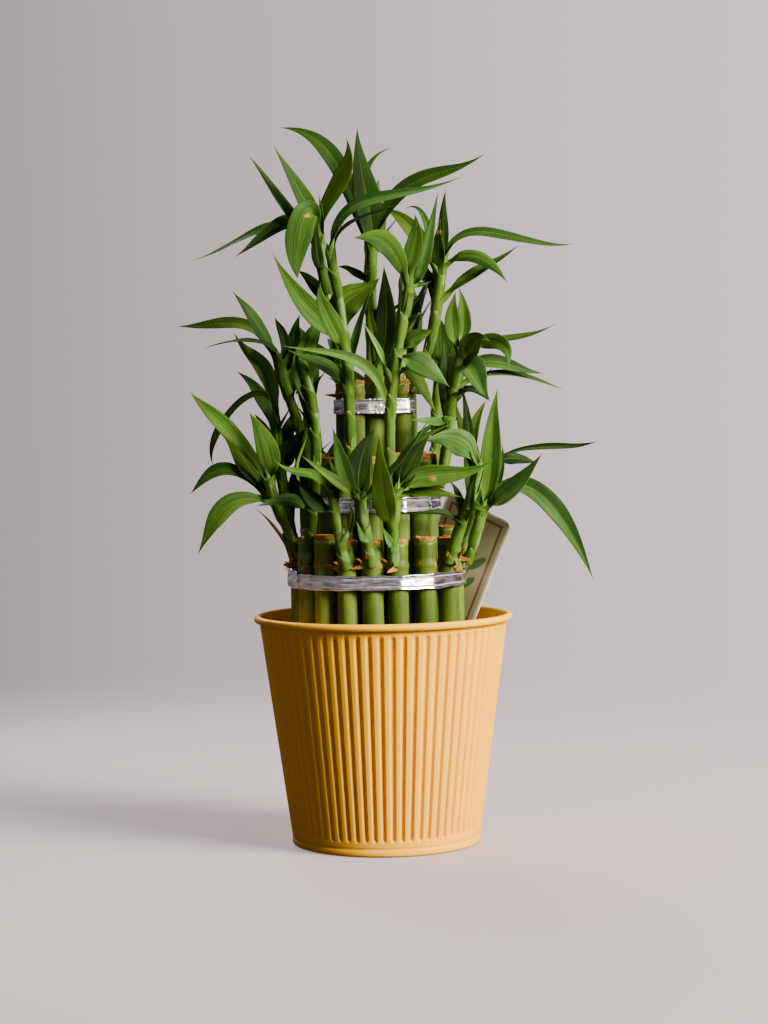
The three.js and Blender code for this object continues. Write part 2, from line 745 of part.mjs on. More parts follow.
    leaves: [
      [0.96, 43, 296, 42.5, 308, 45, 319, -40, 9.5, 10],
      [1, 49, 297, 49, 309, 46.5, 321, -28, 9, 0],
      [0.95, 52, 286, 57, 291, 64, 289.5, -42, 13, 10],
      [0.97, 66, 289.6, 84, 292.4, 103, 299.5, -16, 6, 40],
      [1, 63.5, 289.5, 73.3, 285, 73, 272, -48, 9.5, 10],
      [0.75, 61, 277.8, 78, 274.7, 96, 270.5, -6, 9, 25],
      [0.7, 67, 271, 88, 267.9, 106.5, 261, 6, 5, 45],
      [0.85, 53, 276, 58, 266, 64, 255.5, -50, 14, 0],
      [0.65, 50, 262, 57, 260, 64.5, 254, -28, 5, 30],
      [0.6, 51, 262, 59, 266, 66, 277, -12, 3.5, 50],
      [0.5, 34, 243.5, 26, 244, 17, 244.5, -34, 6, 20],
    ],
  },
];

// Leaves that fill the crown among the front shoots: [cane, and then a leaf as above].
const FILLING_LEAVES = [
  ["cane_outer_15", 0.25, -50, 198.5, -61, 199, -73, 196, -50, 8, 15],
  ["cane_outer_13", 0.62, -55, 224, -49, 233, -43, 241.5, -14, 12, 15],
  ["cane_outer_13", 0.5, -56, 228, -52, 243, -47, 256, -4, 10, 10],
  ["cane_outer_15", 0.62, -38.5, 256, -37, 266, -30.5, 274, -24, 5, 20],
  ["cane_outer_15", 0.72, -45, 270, -44.5, 286, -38, 301, -38, 10, 10],
  ["cane_outer_15", 0.5, -40, 250, -46, 268, -50, 284, -22, 9, 10],
  ["cane_middle_10", 0.7, -49, 268, -46, 282, -43, 295, 8, 9, 10],
  ["cane_inner_01", 0.55, -33.5, 319, -40, 327, -46.5, 332, 4, 8, 10],
  ["cane_inner_01", 0.8, -34.5, 338, -35.5, 350, -34.5, 364, -20, 7, 10],
  ["cane_inner_02", 0.9, 31, 345, 26.5, 363, 16, 366.5, 6, 5, 20],
  ["cane_inner_02", 0.6, 33, 318, 31, 326, 29, 333, -8, 8, 10],
  ["cane_middle_04", 0.4, 38, 262, 38.5, 278, 36.5, 293, 2, 9, 10],
  ["cane_middle_04", 0.6, 43, 270, 44, 284, 42, 297, -14, 8, 10],
  ["cane_outer_04", 0.85, 53, 224, 48, 238, 44, 256, -14, 9, 10],
  ["cane_outer_05", 0.6, 55, 196, 51, 214, 50, 234, -16, 9, 10],
  ["cane_outer_04", 0.45, 38, 190, 28, 191, 15, 190, -46, 4.5, 40],
  ["cane_outer_13", 0.3, -50, 204, -46, 220, -43, 236, 14, 10, 10],
];

// The other shoots grow by one rule: [cane, bearing off the cane's own, height of the stalk].
const OTHER_SHOOTS = [
  ["cane_outer_09", 4, 66],
  ["cane_outer_10", -4, 52],
  ["cane_outer_11", 6, 64],
  ["cane_outer_12", -36, 50],
  ["cane_middle_05", 26, 66],
  ["cane_middle_06", 6, 84],
  ["cane_middle_07", 8, 66],
  ["cane_middle_08", -8, 88],
  ["cane_middle_09", -6, 64],
  ["cane_inner_03", 10, 70],
  ["cane_inner_04", -6, 84],
  ["cane_inner_05", -60, 66],
];

// Gaps that can be looked through from the front, and how far the plant reaches to each side
// behind them: [least x, greatest x, least z, greatest z] as the eye sees them.
const LOOK_THROUGH = [
  [-25, -8, 321, 346],
  [-18, -8, 289, 314],
  [-1, 11, 312, 338],
  [11, 17, 341, 348],
  [20, 32, 243, 265],
  [40, 50, 326, 341],
  [-35, -28, 233, 266],
  [55, 59, 221, 246],
];
const BACK_REACH = [
  [300, -50, 52],
  [350, -34, 38],
  [385, -28, 20],
];

function seenPlace(point) {
  const reach = EYE.distance / (EYE.distance + point.y);
  return [EYE.x + (point.x - EYE.x) * reach, EYE.z + (point.z - EYE.z) * reach];
}

function showsInGap(point) {
  const [x, z] = seenPlace(point);
  const level = BACK_REACH.find(([top]) => z < top);
  if (!level || x < level[1] || x > level[2]) return true;
  return LOOK_THROUGH.some(([x0, x1, z0, z1]) => x > x0 && x < x1 && z > z0 && z < z1);
}

// The rule's leaves, from the lowest to the top one: drawn lengths and widths in mm, turns in
// degrees, and how much each changes towards the top.
const LEAVES_A_SHOOT = 5;
const LOWEST_LEAF = 0.4;
const RULE_LEAF = {
  length: [58, 82],
  shorter: 0.15,
  width: [9, 14],
  spread: [35, 100],
  closer: 0.5,
  rise: [30, 46],
  steeper: 42,
  droop: [12, 30],
  stiffer: 0.4,
  tilt: [-22, 22],
  steepest: 86,
};

const directionOf = (bearing, rise) =>
  vec(Math.sin(bearing) * Math.cos(rise), -Math.cos(bearing) * Math.cos(rise), Math.sin(rise));

// The first of the tries that leaves room all round, or else the roomiest one.
function roomiest(tries, grow, need, misplaced = () => false) {
  let best = null;
  for (const choice of tries) {
    const grown = grow(choice);
    const samples = grown.samples();
    const fault = samples.filter(misplaced).length;
    const room = Math.min(need, spareRoom(grown.owner, samples, need)) - fault;
    if (room >= need) return { grown, room };
    if (!best || room > best.room) best = { grown, room };
  }
  return best;
}

function frontStalk({ cane, stalk, depth }) {
  const [x0, z0, xa, za, xb, zb, x1, z1] = stalk;
  const [foot, top] = depth;
  const step = (top - foot) / 3;
  const curve = cubicThrough(
    sight(x0, z0, foot),
    sight(xa, za, foot + step),
    sight(xb, zb, foot + 2 * step),
    sight(x1, z1, top),
  );
  return new Stalk(cane, curve);
}

const STALK_TRIES = [1, 0.85, 0.7, 0.55].flatMap((share) =>
  [0, 12, -12, 24, -24, 36, -36].map((turn) => ({ turn, share })),
);
function otherStalk(canes, draw, [name, off, fullHeight]) {
  const cane = canes[name];
  const lift = draw(0, 2);
  const sway = draw(-0.15, 0.15);
  const grow = ({ turn, share }) => {
    const height = fullHeight * share;
    const bearing = cane.turn + rad(off + turn);
    const out = (reach, rise, swing) => {
      const way = directionOf(bearing + swing, 0);
      return vec(cane.x, cane.y, cane.node - 2 + lift + rise).addScaledVector(way, reach);
    };
    const curve = cubicThrough(
      out(2, 0, 0),
      out(CANE_RADIUS + 5, height * 0.3, 0),
      out(CANE_RADIUS + 8, height * 0.66, sway),
      out(CANE_RADIUS + 13, height, sway),
    );
    return new Stalk(name, curve);
  };
  return roomiest(STALK_TRIES, grow, STALK_RADIUS_FOOT + 1, showsInGap).grown;
}

// Tries for a front leaf: its tip moves along the line of sight, and the blade bows.
const FRONT_TRIES = [];
[0, 5, -5, 10, -10, 16, -16, 22, -22, 30, -30].forEach((shift) => {
  [0, 6, -6, 12, -12].forEach((bow) => FRONT_TRIES.push({ shift, bow }));
});
FRONT_TRIES.sort((p, q) => Math.abs(p.shift) + 2 * Math.abs(p.bow) - Math.abs(q.shift) - 2 * Math.abs(q.bow));

function frontLeaf(stalk, row) {
  const [place, xa, za, xb, zb, x1, z1, depth, width, tilt, belly = 0.42] = row;
  const foot = stalk.curve.getPoint(place);
  const grow = ({ shift, bow }) => {
    const step = (depth + shift - foot.y) / 3;
    const curve = cubicThrough(
      foot,
      sight(xa, za, foot.y + step + bow),
      sight(xb, zb, foot.y + 2 * step + bow),
      sight(x1, z1, depth + shift),
    );
    return new Leaf(stalk.owner, curve, { width, tilt, belly });
  };
  return roomiest(FRONT_TRIES, grow, CLEARANCE);
}

// Tries for another leaf: it turns round the stalk, rises or droops, or is shorter.
const OTHER_TRIES = [1, 0.8, 0.62].flatMap((share) =>
  [0, 14, -14, 28, -28, 42, -42, 60, -60, 80, -80].flatMap((turn) =>
    [0, 12, -12, 24].map((rise) => ({ turn, rise, share })),
  ),
);

function otherLeaf(draw, stalk, bearing, index) {
  const share = index / (LEAVES_A_SHOOT - 1);
  const place = LOWEST_LEAF + (1 - LOWEST_LEAF) * share;
  const fullLength = draw(...RULE_LEAF.length) * (1 - RULE_LEAF.shorter * share);
  const width = draw(...RULE_LEAF.width);
  const spread = rad(draw(...RULE_LEAF.spread) * (1 - RULE_LEAF.closer * share));
  const heading = bearing + (index % 2 ? spread : -spread);
  const firstRise = draw(...RULE_LEAF.rise) + RULE_LEAF.steeper * share;
  const droop = draw(...RULE_LEAF.droop) * (1 - RULE_LEAF.stiffer * share);
  const tilt = draw(...RULE_LEAF.tilt);
  const foot = stalk.curve.getPoint(place);
  const grow = ({ turn, rise, share: grownShare }) => {
    const length = fullLength * grownShare;
    const start = Math.min(RULE_LEAF.steepest, firstRise + rise);
    const way = (k) => directionOf(heading + rad(turn), rad(start - k * droop));
    const a = foot.clone().addScaledVector(way(0), length / 3);
    const b = a.clone().addScaledVector(way(1), length / 3);
    const tip = b.clone().addScaledVector(way(2), length / 3);
    return new Leaf(stalk.owner, cubicThrough(foot, a, b, tip), { width, tilt, face: vec(0, 0, 1) });
  };
  return roomiest(OTHER_TRIES, grow, CLEARANCE, showsInGap);
}

// Grows every shoot and returns the stalks and leaves of each cane.
function growShoots(canes) {
  const draw = draws(SEEDS.shoots);
  const grown = Object.fromEntries(Object.keys(canes).map((name) => [name, []]));
  const keep = (thing, room) => {
    grown[thing.owner].push(thing);
    stand(thing.owner, thing.samples(), room);
  };
  const front = FRONT_SHOOTS.map((shoot) => ({ shoot, stalk: frontStalk(shoot) }));
  front.forEach(({ stalk }) => keep(stalk, STALK_RADIUS_FOOT - STALK_SLACK));
  const others = OTHER_SHOOTS.map((shoot) => {
    const stalk = otherStalk(canes, draw, shoot);
    keep(stalk, STALK_RADIUS_FOOT - STALK_SLACK);
    return { stalk, bearing: canes[shoot[0]].turn + rad(shoot[1]) };
  });
  const add = ({ grown: leaf, room }, least = -Infinity) => {
    if (room >= least) keep(leaf, 0);
  };
  front.forEach(({ shoot, stalk }) => shoot.leaves.forEach((row) => add(frontLeaf(stalk, row))));
  others.forEach(({ stalk, bearing }) => {
    for (let index = 0; index < LEAVES_A_SHOOT; index += 1) {
      add(otherLeaf(draw, stalk, bearing, index), LEAST_CLEARANCE);
    }
  });
  FILLING_LEAVES.forEach(([cane, ...row]) => {
    const { stalk } = front.find(({ shoot }) => shoot.cane === cane);
    add(frontLeaf(stalk, row), LEAST_CLEARANCE);
  });
  return grown;
}

// Assembly.

const FINISHES = {
  pot: { color: "#d9a355", roughness: 0.55, metalness: 0.1 },
  soil: { color: "#3a2c22", roughness: 0.95, metalness: 0 },
  tie: { color: "#c9cbd0", roughness: 0.22, metalness: 1 },
  card: { color: "#8a8c68", roughness: 0.5, metalness: 0 },
  cane: { color: "#6f9440", roughness: 0.45, metalness: 0 },
};

const plant = new THREE.Group();
function place(name, geometry, finish) {
  const mesh = new THREE.Mesh(geometry, new THREE.MeshStandardMaterial(finish));
  mesh.name = name;
  plant.add(mesh);
}

const canes = makeCanes();
Object.entries(canes).forEach(([name, cane]) => {
  const height = cane.top - SOIL_TOP;
  const count = Math.ceil(height / SAMPLE_STEP);
  const points = Array.from({ length: count + 1 }, (_, k) => vec(cane.x, cane.y, SOIL_TOP + (height * k) / count));
  stand(name, points, CANE_RADIUS - CANE_SLACK);
});
Object.keys(TIERS).forEach((tier) => {
  const ring = Object.values(canes).filter((cane) => cane.tier === tier);
  const points = [];
  for (let side = 0; side < 2 * TIE_SIDES; side += 1) {
    const [x, y] = hullPoint(ring, (Math.PI * side) / TIE_SIDES, CANE_RADIUS + TIE_GAP);
    [-1, 0, 1].forEach((k) => points.push(vec(x, y, TIE_MIDDLE_Z[tier] + (k * TIE_HEIGHT) / 2)));
  }
  stand(`tie_${tier}`, points, 0);
});

const cardPoints = [];
for (let down = 0; down <= CARD_LENGTH; down += SAMPLE_STEP) {
  for (let across = -CARD_WIDTH / 2; across <= CARD_WIDTH / 2; across += SAMPLE_STEP) {
    cardPoints.push(vec(across, -down, 0).applyMatrix4(cardPlacement()));
  }
}
stand("care_card", cardPoints, 0);

place("pot", toGeometry(potSolid()), FINISHES.pot);
place("soil", toGeometry(soilSolid(canes, toSolid(cardGeometry(HOLE_GAP)))), FINISHES.soil);
place("tie_lower", toGeometry(tieSolid(canes, "outer", { from: -112, to: -58, rise: 1.6 })), FINISHES.tie);
place("tie_middle", toGeometry(tieSolid(canes, "middle", { from: 58, to: 104, rise: -0.8 })), FINISHES.tie);
place("tie_upper", toGeometry(tieSolid(canes, "inner", { from: -62, to: -20, rise: 0.8 })), FINISHES.tie);
place("care_card", cardGeometry(0), FINISHES.card);

const grown = growShoots(canes);
Object.entries(canes).forEach(([name, cane]) => {
  const shoots = grown[name].map((thing) => thing.solid());
  place(name, toGeometry(joined([toSolid(caneGeometry(cane)), ...shoots])), FINISHES.cane);
});

export default plant;
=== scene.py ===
"""Lucky bamboo in its ribbed pot: the looks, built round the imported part.

Shapes are worked out in millimetres and put into the meshes in metres. The origin is the middle
of the pot's underside, +Z is up, and the front looks along +Y.
"""

import math

import bpy
import numpy as np
from bpy.props import FloatProperty, FloatVectorProperty, IntProperty, PointerProperty
from mathutils import Matrix, Vector


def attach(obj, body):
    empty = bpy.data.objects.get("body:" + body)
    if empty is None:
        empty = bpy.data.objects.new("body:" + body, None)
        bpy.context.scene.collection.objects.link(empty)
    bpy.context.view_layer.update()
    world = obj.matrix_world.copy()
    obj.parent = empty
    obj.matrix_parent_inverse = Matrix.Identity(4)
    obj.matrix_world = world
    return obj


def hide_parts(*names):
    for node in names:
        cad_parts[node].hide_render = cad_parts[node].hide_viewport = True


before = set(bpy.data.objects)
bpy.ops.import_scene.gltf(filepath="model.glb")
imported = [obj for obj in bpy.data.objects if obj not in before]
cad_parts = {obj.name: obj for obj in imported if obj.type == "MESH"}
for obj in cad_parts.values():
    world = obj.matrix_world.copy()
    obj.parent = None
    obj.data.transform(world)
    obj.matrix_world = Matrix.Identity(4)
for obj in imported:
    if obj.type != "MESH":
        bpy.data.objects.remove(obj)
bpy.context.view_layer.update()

bl_info = {
    "name": "Lucky bamboo in a ribbed pot",
    "version": (1, 0, 0),
    "blender": (4, 5, 0),
    "location": "3D View > Sidebar > Plant",
    "description": "Builds the leafy canes, foil ties, card, soil and pot of a lucky bamboo",
    "category": "Object",
}

MM = 0.001

# Pot. Its foot is a line from its middle outwards, as radius and height. A groove lies at
# GROOVE_MIDDLE of each rib's share, flat to GROOVE_FLOOR of that share and gone at GROOVE_SIDE.
POT_HEIGHT = 133
RIM_RADIUS = 75
RIM_BEAD = 2.1
WALL_TOP_RADIUS = 71.6
WALL_TOP_Z = 127
WALL_FOOT_RADIUS = 54.8
WALL_FOOT_Z = 5
RIB_COUNT = 68
RIB_DEPTH = 1.5
RIB_LOW_Z = 7
RIB_HIGH_Z = 123
STEPS_A_RIB = 12
GROOVE_MIDDLE = 0.76
GROOVE_FLOOR = 0.06
GROOVE_SIDE = 0.32
SHEET = 1.1
SEAM_DEPTH = 1.2
POT_FOOT = [
    (12, 0), (46.5, 0), (47.2, 0.5), (47.8, SEAM_DEPTH), (49.8, SEAM_DEPTH), (50.5, 0.5), (51, 0),
    (53.4, 0), (54.3, 0.35), (54.8, 1.2), (54.85, 3.2), (54.5, 4.1), (54.35, 4.6),
]

# Soil.
SOIL_TOP = 110
SOIL_SIDES = 150
SOIL_ROWS = 52
CRUMBS = 420
CRUMB_SIDES = 6
CRUMBS_REACH = 64

# Canes.
BUNDLE_X = -3.3
CANE_RADIUS = 6.2
CANE_FOOT_Z = 33
CANE_SIDES = 32
TIERS = {
    "outer": {"radius": 44.3, "top": 180, "node": 164, "wander": 3.2},
    "middle": {"radius": 30, "top": 225, "node": 209, "wander": 2},
    "inner": {"radius": 16.5, "top": 268, "node": 261, "wander": 1.5},
}
CANE_ANGLES = {
    "outer": [-3, 15.5, 38.5, 68, 91, 112, 133, 154, 175, 196, 217, 238, 259, 279, 299, 319, 338.5],
    "middle": [-4, 26, 56, 86, 116, 146, 176, 206, 236, 266, 296, 326],
    "inner": [-44, 80, 140, 200, 260],
}

# Least and most, drawn for each cane: from the upper ring down to the lower one, and how far down
# the cut end has dried.
RING_GAP = (38, 52)
DRY_DEPTH = (0.8, 2.4)

# Papery scraps round a shoot's foot, with their least and most length and half width.
FLAKES = 4
FLAKE_REACH = (4.5, 8.5)
FLAKE_HALF = (1.4, 2.6)

# Foil ties. Over a tie's height, from -1 to 1, FOLDS are its level folds, painted white as a painted
# highlight, and LEAN is how far its outer side stands off at each of LEAN_AT.
TIE_HEIGHT = 8.5
TIE_SHEET = 0.8
TIE_GAP = 0.35
TIE_SIDES = 36
TIE_COLUMNS = 560
TAIL_STEP = 0.55
HULL_TURNS = 1440
TAIL_TURNS = 400
TIE_MIDDLE_Z = {"outer": 154, "middle": 197, "inner": 253}
FOLDS = (-0.54, 0.56)
FOLD_WIDTH = 0.06
LEAN_AT = (-1, -0.58, -0.5, 0.52, 0.6, 1)
LEAN = (0.2, -0.02, 0.34, -0.26, 0.12, -0.12)

# Care card.
CARD_WIDTH = 46
CARD_LENGTH = 100
CARD_SHEET = 0.8
CARD_CORNER = 4
CARD_COLUMNS = 93
CARD_LEAN = 24
CARD_BEARING = 150
CARD_FROM_BUNDLE = 53.4
CARD_TOP_CORNER = (61.2, 183.1)

# The card's print: a sprig of oval leaves left and right of a stem, and a band along the edge,
# which fades in and out over its two first and two last distances from the edge.
SPRIG_LEAVES = 7
SPRIG_TOP = 30
SPRIG_STEP = 7
SPRIG_LEAN = 38
SPRIG_OVAL = (7, 2.3)
BAND = (4.2, 4.6, 5.6, 6)

# The front of the plant is laid out as an eye in front of it sees it.
EYE_X = 1.4
EYE_DISTANCE = 1400
EYE_Z = 255

# Shoots and leaves. A stalk keeps STALK_ROOM clear round its middle line, and BELLY is where along
# it a leaf is widest, unless its row says so.
STALK_RADIUS_FOOT = 3.7
STALK_SIDES = 14
STALK_ROOM = STALK_RADIUS_FOOT - 1.4
LEAF_FOLD = 0.3
BELLY = 0.42
CLEARANCE = 4.3
LEAST_CLEARANCE = 3.4
SAMPLE_STEP = 5
LEAVES_A_SHOOT = 5
SEEDS = {"canes": 20711, "shoots": 4243}
DRAW_FACTOR = 16807
DRAW_ROUND = 2147483647


def draws(seed):
    """Repeatable draws between two values: each state is the last times 16807, modulo 2^31 - 1."""
    state = seed

    def draw(low, high):
        nonlocal state
        state = (state * DRAW_FACTOR) % DRAW_ROUND
        return low + ((high - low) * state) / DRAW_ROUND

    return draw


def sight(x, z, y):
    """A point that the eye sees at (x, z) of the plane through the pot's axis, at depth y."""
    reach = (EYE_DISTANCE + y) / EYE_DISTANCE
    return np.array([EYE_X + (x - EYE_X) * reach, y, EYE_Z + (z - EYE_Z) * reach])


def unit(rows):
    """Each row over its length."""
    return rows / np.linalg.norm(rows, axis=-1, keepdims=True)


def dot(a, b):
    """Row by row products, summed, as a column."""
    return np.sum(a * b, axis=-1, keepdims=True)


def smooth(low, high, x):
    """0 below low, 1 above high, 3s^2 - 2s^3 between."""
    s = np.clip((x - low) / (high - low), 0, 1)
    return s * s * (3 - 2 * s)


def bell(x, width):
    """1 at x = 0, falling off to both sides as exp(-(x / width)^2)."""
    return np.exp(-((x / width) ** 2))


def circle(count):
    """That many even turns of one round, in radians."""
    return np.linspace(0, 2 * np.pi, count, endpoint=False)


def stacked(shape, *parts):
    """The parts, each spread over that shape, as the last axis of one array."""
    return np.stack([np.broadcast_to(part, shape) for part in parts], axis=-1)


def distances(line):
    """How far along a line each of its points lies."""
    return np.concatenate([[0], np.cumsum(np.linalg.norm(np.diff(line, axis=0), axis=1))])


def spaced(line, even):
    """Points at those distances along a level line."""
    far = distances(line)
    return np.stack([np.interp(even, far, line[:, k]) for k in range(2)], axis=1)


class Curve:
    """One cubic that passes four points at 0, 1/3, 2/3 and 1."""

    def __init__(self, p0, a, b, p3):
        first = (-5 * p0 + 18 * a - 9 * b + 2 * p3) / 6
        second = (2 * p0 - 9 * a + 18 * b - 5 * p3) / 6
        self.ends = (p0, first, second, p3)

    def at(self, t):
        """(1-t)^3 p0 + 3(1-t)^2 t c1 + 3(1-t) t^2 c2 + t^3 p3."""
        t = np.asarray(t, float)[..., None]
        k = 1 - t
        p0, first, second, p3 = self.ends
        return k * k * k * p0 + 3 * k * k * t * first + 3 * k * t * t * second + t * t * t * p3

    def along(self, t):
        """Direction of the curve at t, from two points close to it."""
        t = np.asarray(t, float)
        return unit(self.at(np.minimum(t + 1e-4, 1)) - self.at(np.maximum(t - 1e-4, 0)))

    def length(self):
        """Length of the curve, summed over 200 steps."""
        points = self.at(np.linspace(0, 1, 201))
        return float(np.sum(np.linalg.norm(np.diff(points, axis=0), axis=1)))


def make_canes():
    """Place, cut top and swollen ring of each cane."""
    draw = draws(SEEDS["canes"])
    canes = {}
    for tier, spec in TIERS.items():
        for index, degrees in enumerate(CANE_ANGLES[tier]):
            turn = math.radians(degrees)
            shift = draw(-spec["wander"], spec["wander"])
            canes[f"cane_{tier}_{index + 1:02d}"] = {
                "tier": tier,
                "turn": turn,
                "x": BUNDLE_X + spec["radius"] * math.sin(turn),
                "y": -spec["radius"] * math.cos(turn),
                "top": spec["top"] + shift,
                "node": spec["node"] + shift * 0.4,
            }
    inner = TIERS["inner"]
    canes["cane_centre"] = {
        "tier": "inner",
        "turn": 0.0,
        "x": BUNDLE_X,
        "y": 0.0,
        "top": inner["top"] + 2,
        "node": inner["node"],
    }
    return canes


def hull_points(ring, turns, reach):
    """For each turn, the cane that lies furthest that way, and reach beyond its middle."""
    ways = np.stack([np.sin(turns), -np.cos(turns)], axis=1)
    middles = np.array([[cane["x"], cane["y"]] for cane in ring])
    furthest = np.argmax(ways @ middles.T, axis=1)
    return middles[furthest] + reach * ways


def card_matrix():
    """The card is drawn upright with its top edge on the x axis, then leant, set up and turned."""
    lean = math.radians(CARD_LEAN)
    bearing = math.radians(CARD_BEARING)
    half = CARD_WIDTH / 2
    along, z = CARD_TOP_CORNER
    place = Matrix.Translation((along - half * math.cos(lean), 0, z + half * math.sin(lean)))
    x = BUNDLE_X + CARD_FROM_BUNDLE * math.sin(bearing)
    out = Matrix.Translation((x, -CARD_FROM_BUNDLE * math.cos(bearing), 0))
    turn = Matrix.Rotation(bearing - math.pi, 4, "Z")
    upright = Matrix.Rotation(math.pi / 2, 4, "X") @ Matrix.Rotation(-lean, 4, "Z")
    return np.array(out @ turn @ place @ upright)


def moved(points, matrix):
    """Rows of points under a 4x4 matrix."""
    return points @ matrix[:3, :3].T + matrix[:3, 3]


class Standing:
    """What stands already: sample points, the room that each needs, and whose they are."""

    def __init__(self):
        self.points = np.zeros((0, 3))
        self.rooms = np.zeros(0)
        self.owners = np.zeros(0, int)
        self.names = {}

    def number(self, owner):
        """The owner's number, a new one for a new owner."""
        return self.names.setdefault(owner, len(self.names))

    def add(self, owner, points, room):
        """Stands the owner's points, each with that room round it."""
        self.points = np.concatenate([self.points, points])
        self.rooms = np.concatenate([self.rooms, np.full(len(points), float(room))])
        self.owners = np.concatenate([self.owners, np.full(len(points), self.number(owner))])

    def spare(self, owner, points, need):
        """Smallest distance to what another owner has, less the room that this needs."""
        reach = need + STALK_RADIUS_FOOT + 1
        low = points.min(axis=0) - reach
        high = points.max(axis=0) + reach
        near = np.all((self.points > low) & (self.points < high), axis=1)
        near &= self.owners != self.number(owner)
        if not near.any():
            return need
        others = self.points[near]
        squares = ((points[:, None, :] - others[None, :, :]) ** 2).sum(axis=2)
        return float(min(need, (np.sqrt(squares.min(axis=0)) - self.rooms[near]).min()))


class Stalk:
    """A leafy shoot's stalk."""

    def __init__(self, owner, curve):
        self.owner = owner
        self.curve = curve

    def samples(self):
        """Points along the stalk, one every few mm."""
        count = math.ceil(self.curve.length() / SAMPLE_STEP)
        return self.curve.at(np.arange(count + 1) / count)


def blade_width(t, belly, taper=1.7, ease=1.2):
    """Share of the full width: 0.3 + 0.7 sin^1.3 up to the belly, then (1 - u^taper)^ease."""
    rise = 0.3 + 0.7 * np.sin(np.pi / 2 * np.clip(t / belly, 0, 1)) ** 1.3
    u = np.clip((t - belly) / (1 - belly), 0, 1)
    return np.where(t < belly, rise, (1 - u**taper) ** ease)


class Leaf:
    """A lance-shaped blade along a curve, folded upwards along its midrib."""

    def __init__(self, owner, curve, width, tilt, tone, belly=BELLY, face=(0, -1, 0)):
        self.owner = owner
        self.curve = curve
        self.width = width
        self.tilt = tilt
        self.belly = belly
        self.face = np.array(face, float)
        self.tone = tone
        self.hand = 1 if curve.ends[3][0] < curve.ends[0][0] else -1

    def axes(self, t, twist=0.0):
        """Face and across directions of the blade at each t."""
        ahead = self.curve.along(t)
        front = unit(self.face - dot(self.face, ahead) * ahead)
        side = np.cross(ahead, front) * self.hand
        tilt = np.radians(self.tilt + twist * np.asarray(t))[..., None]
        face = front * np.cos(tilt) + side * np.sin(tilt)
        return face, np.cross(ahead, face)

    def samples(self):
        """Points every few mm along the blade, in three or five lines."""
        count = max(6, math.floor(self.curve.length() / SAMPLE_STEP + 0.5))
        t = np.arange(1, count + 1) / count
        face, across = self.axes(t)
        half = (self.width / 2 * blade_width(t, self.belly))[:, None]
        lift = half * LEAF_FOLD * (1 - 0.5 * t[:, None])
        centre = self.curve.at(t)
        steps = [-1, -0.5, 0, 0.5, 1] if self.width > 9 else [-1, 0, 1]
        return np.concatenate([centre + s * half * across + abs(s) * lift * face for s in steps])


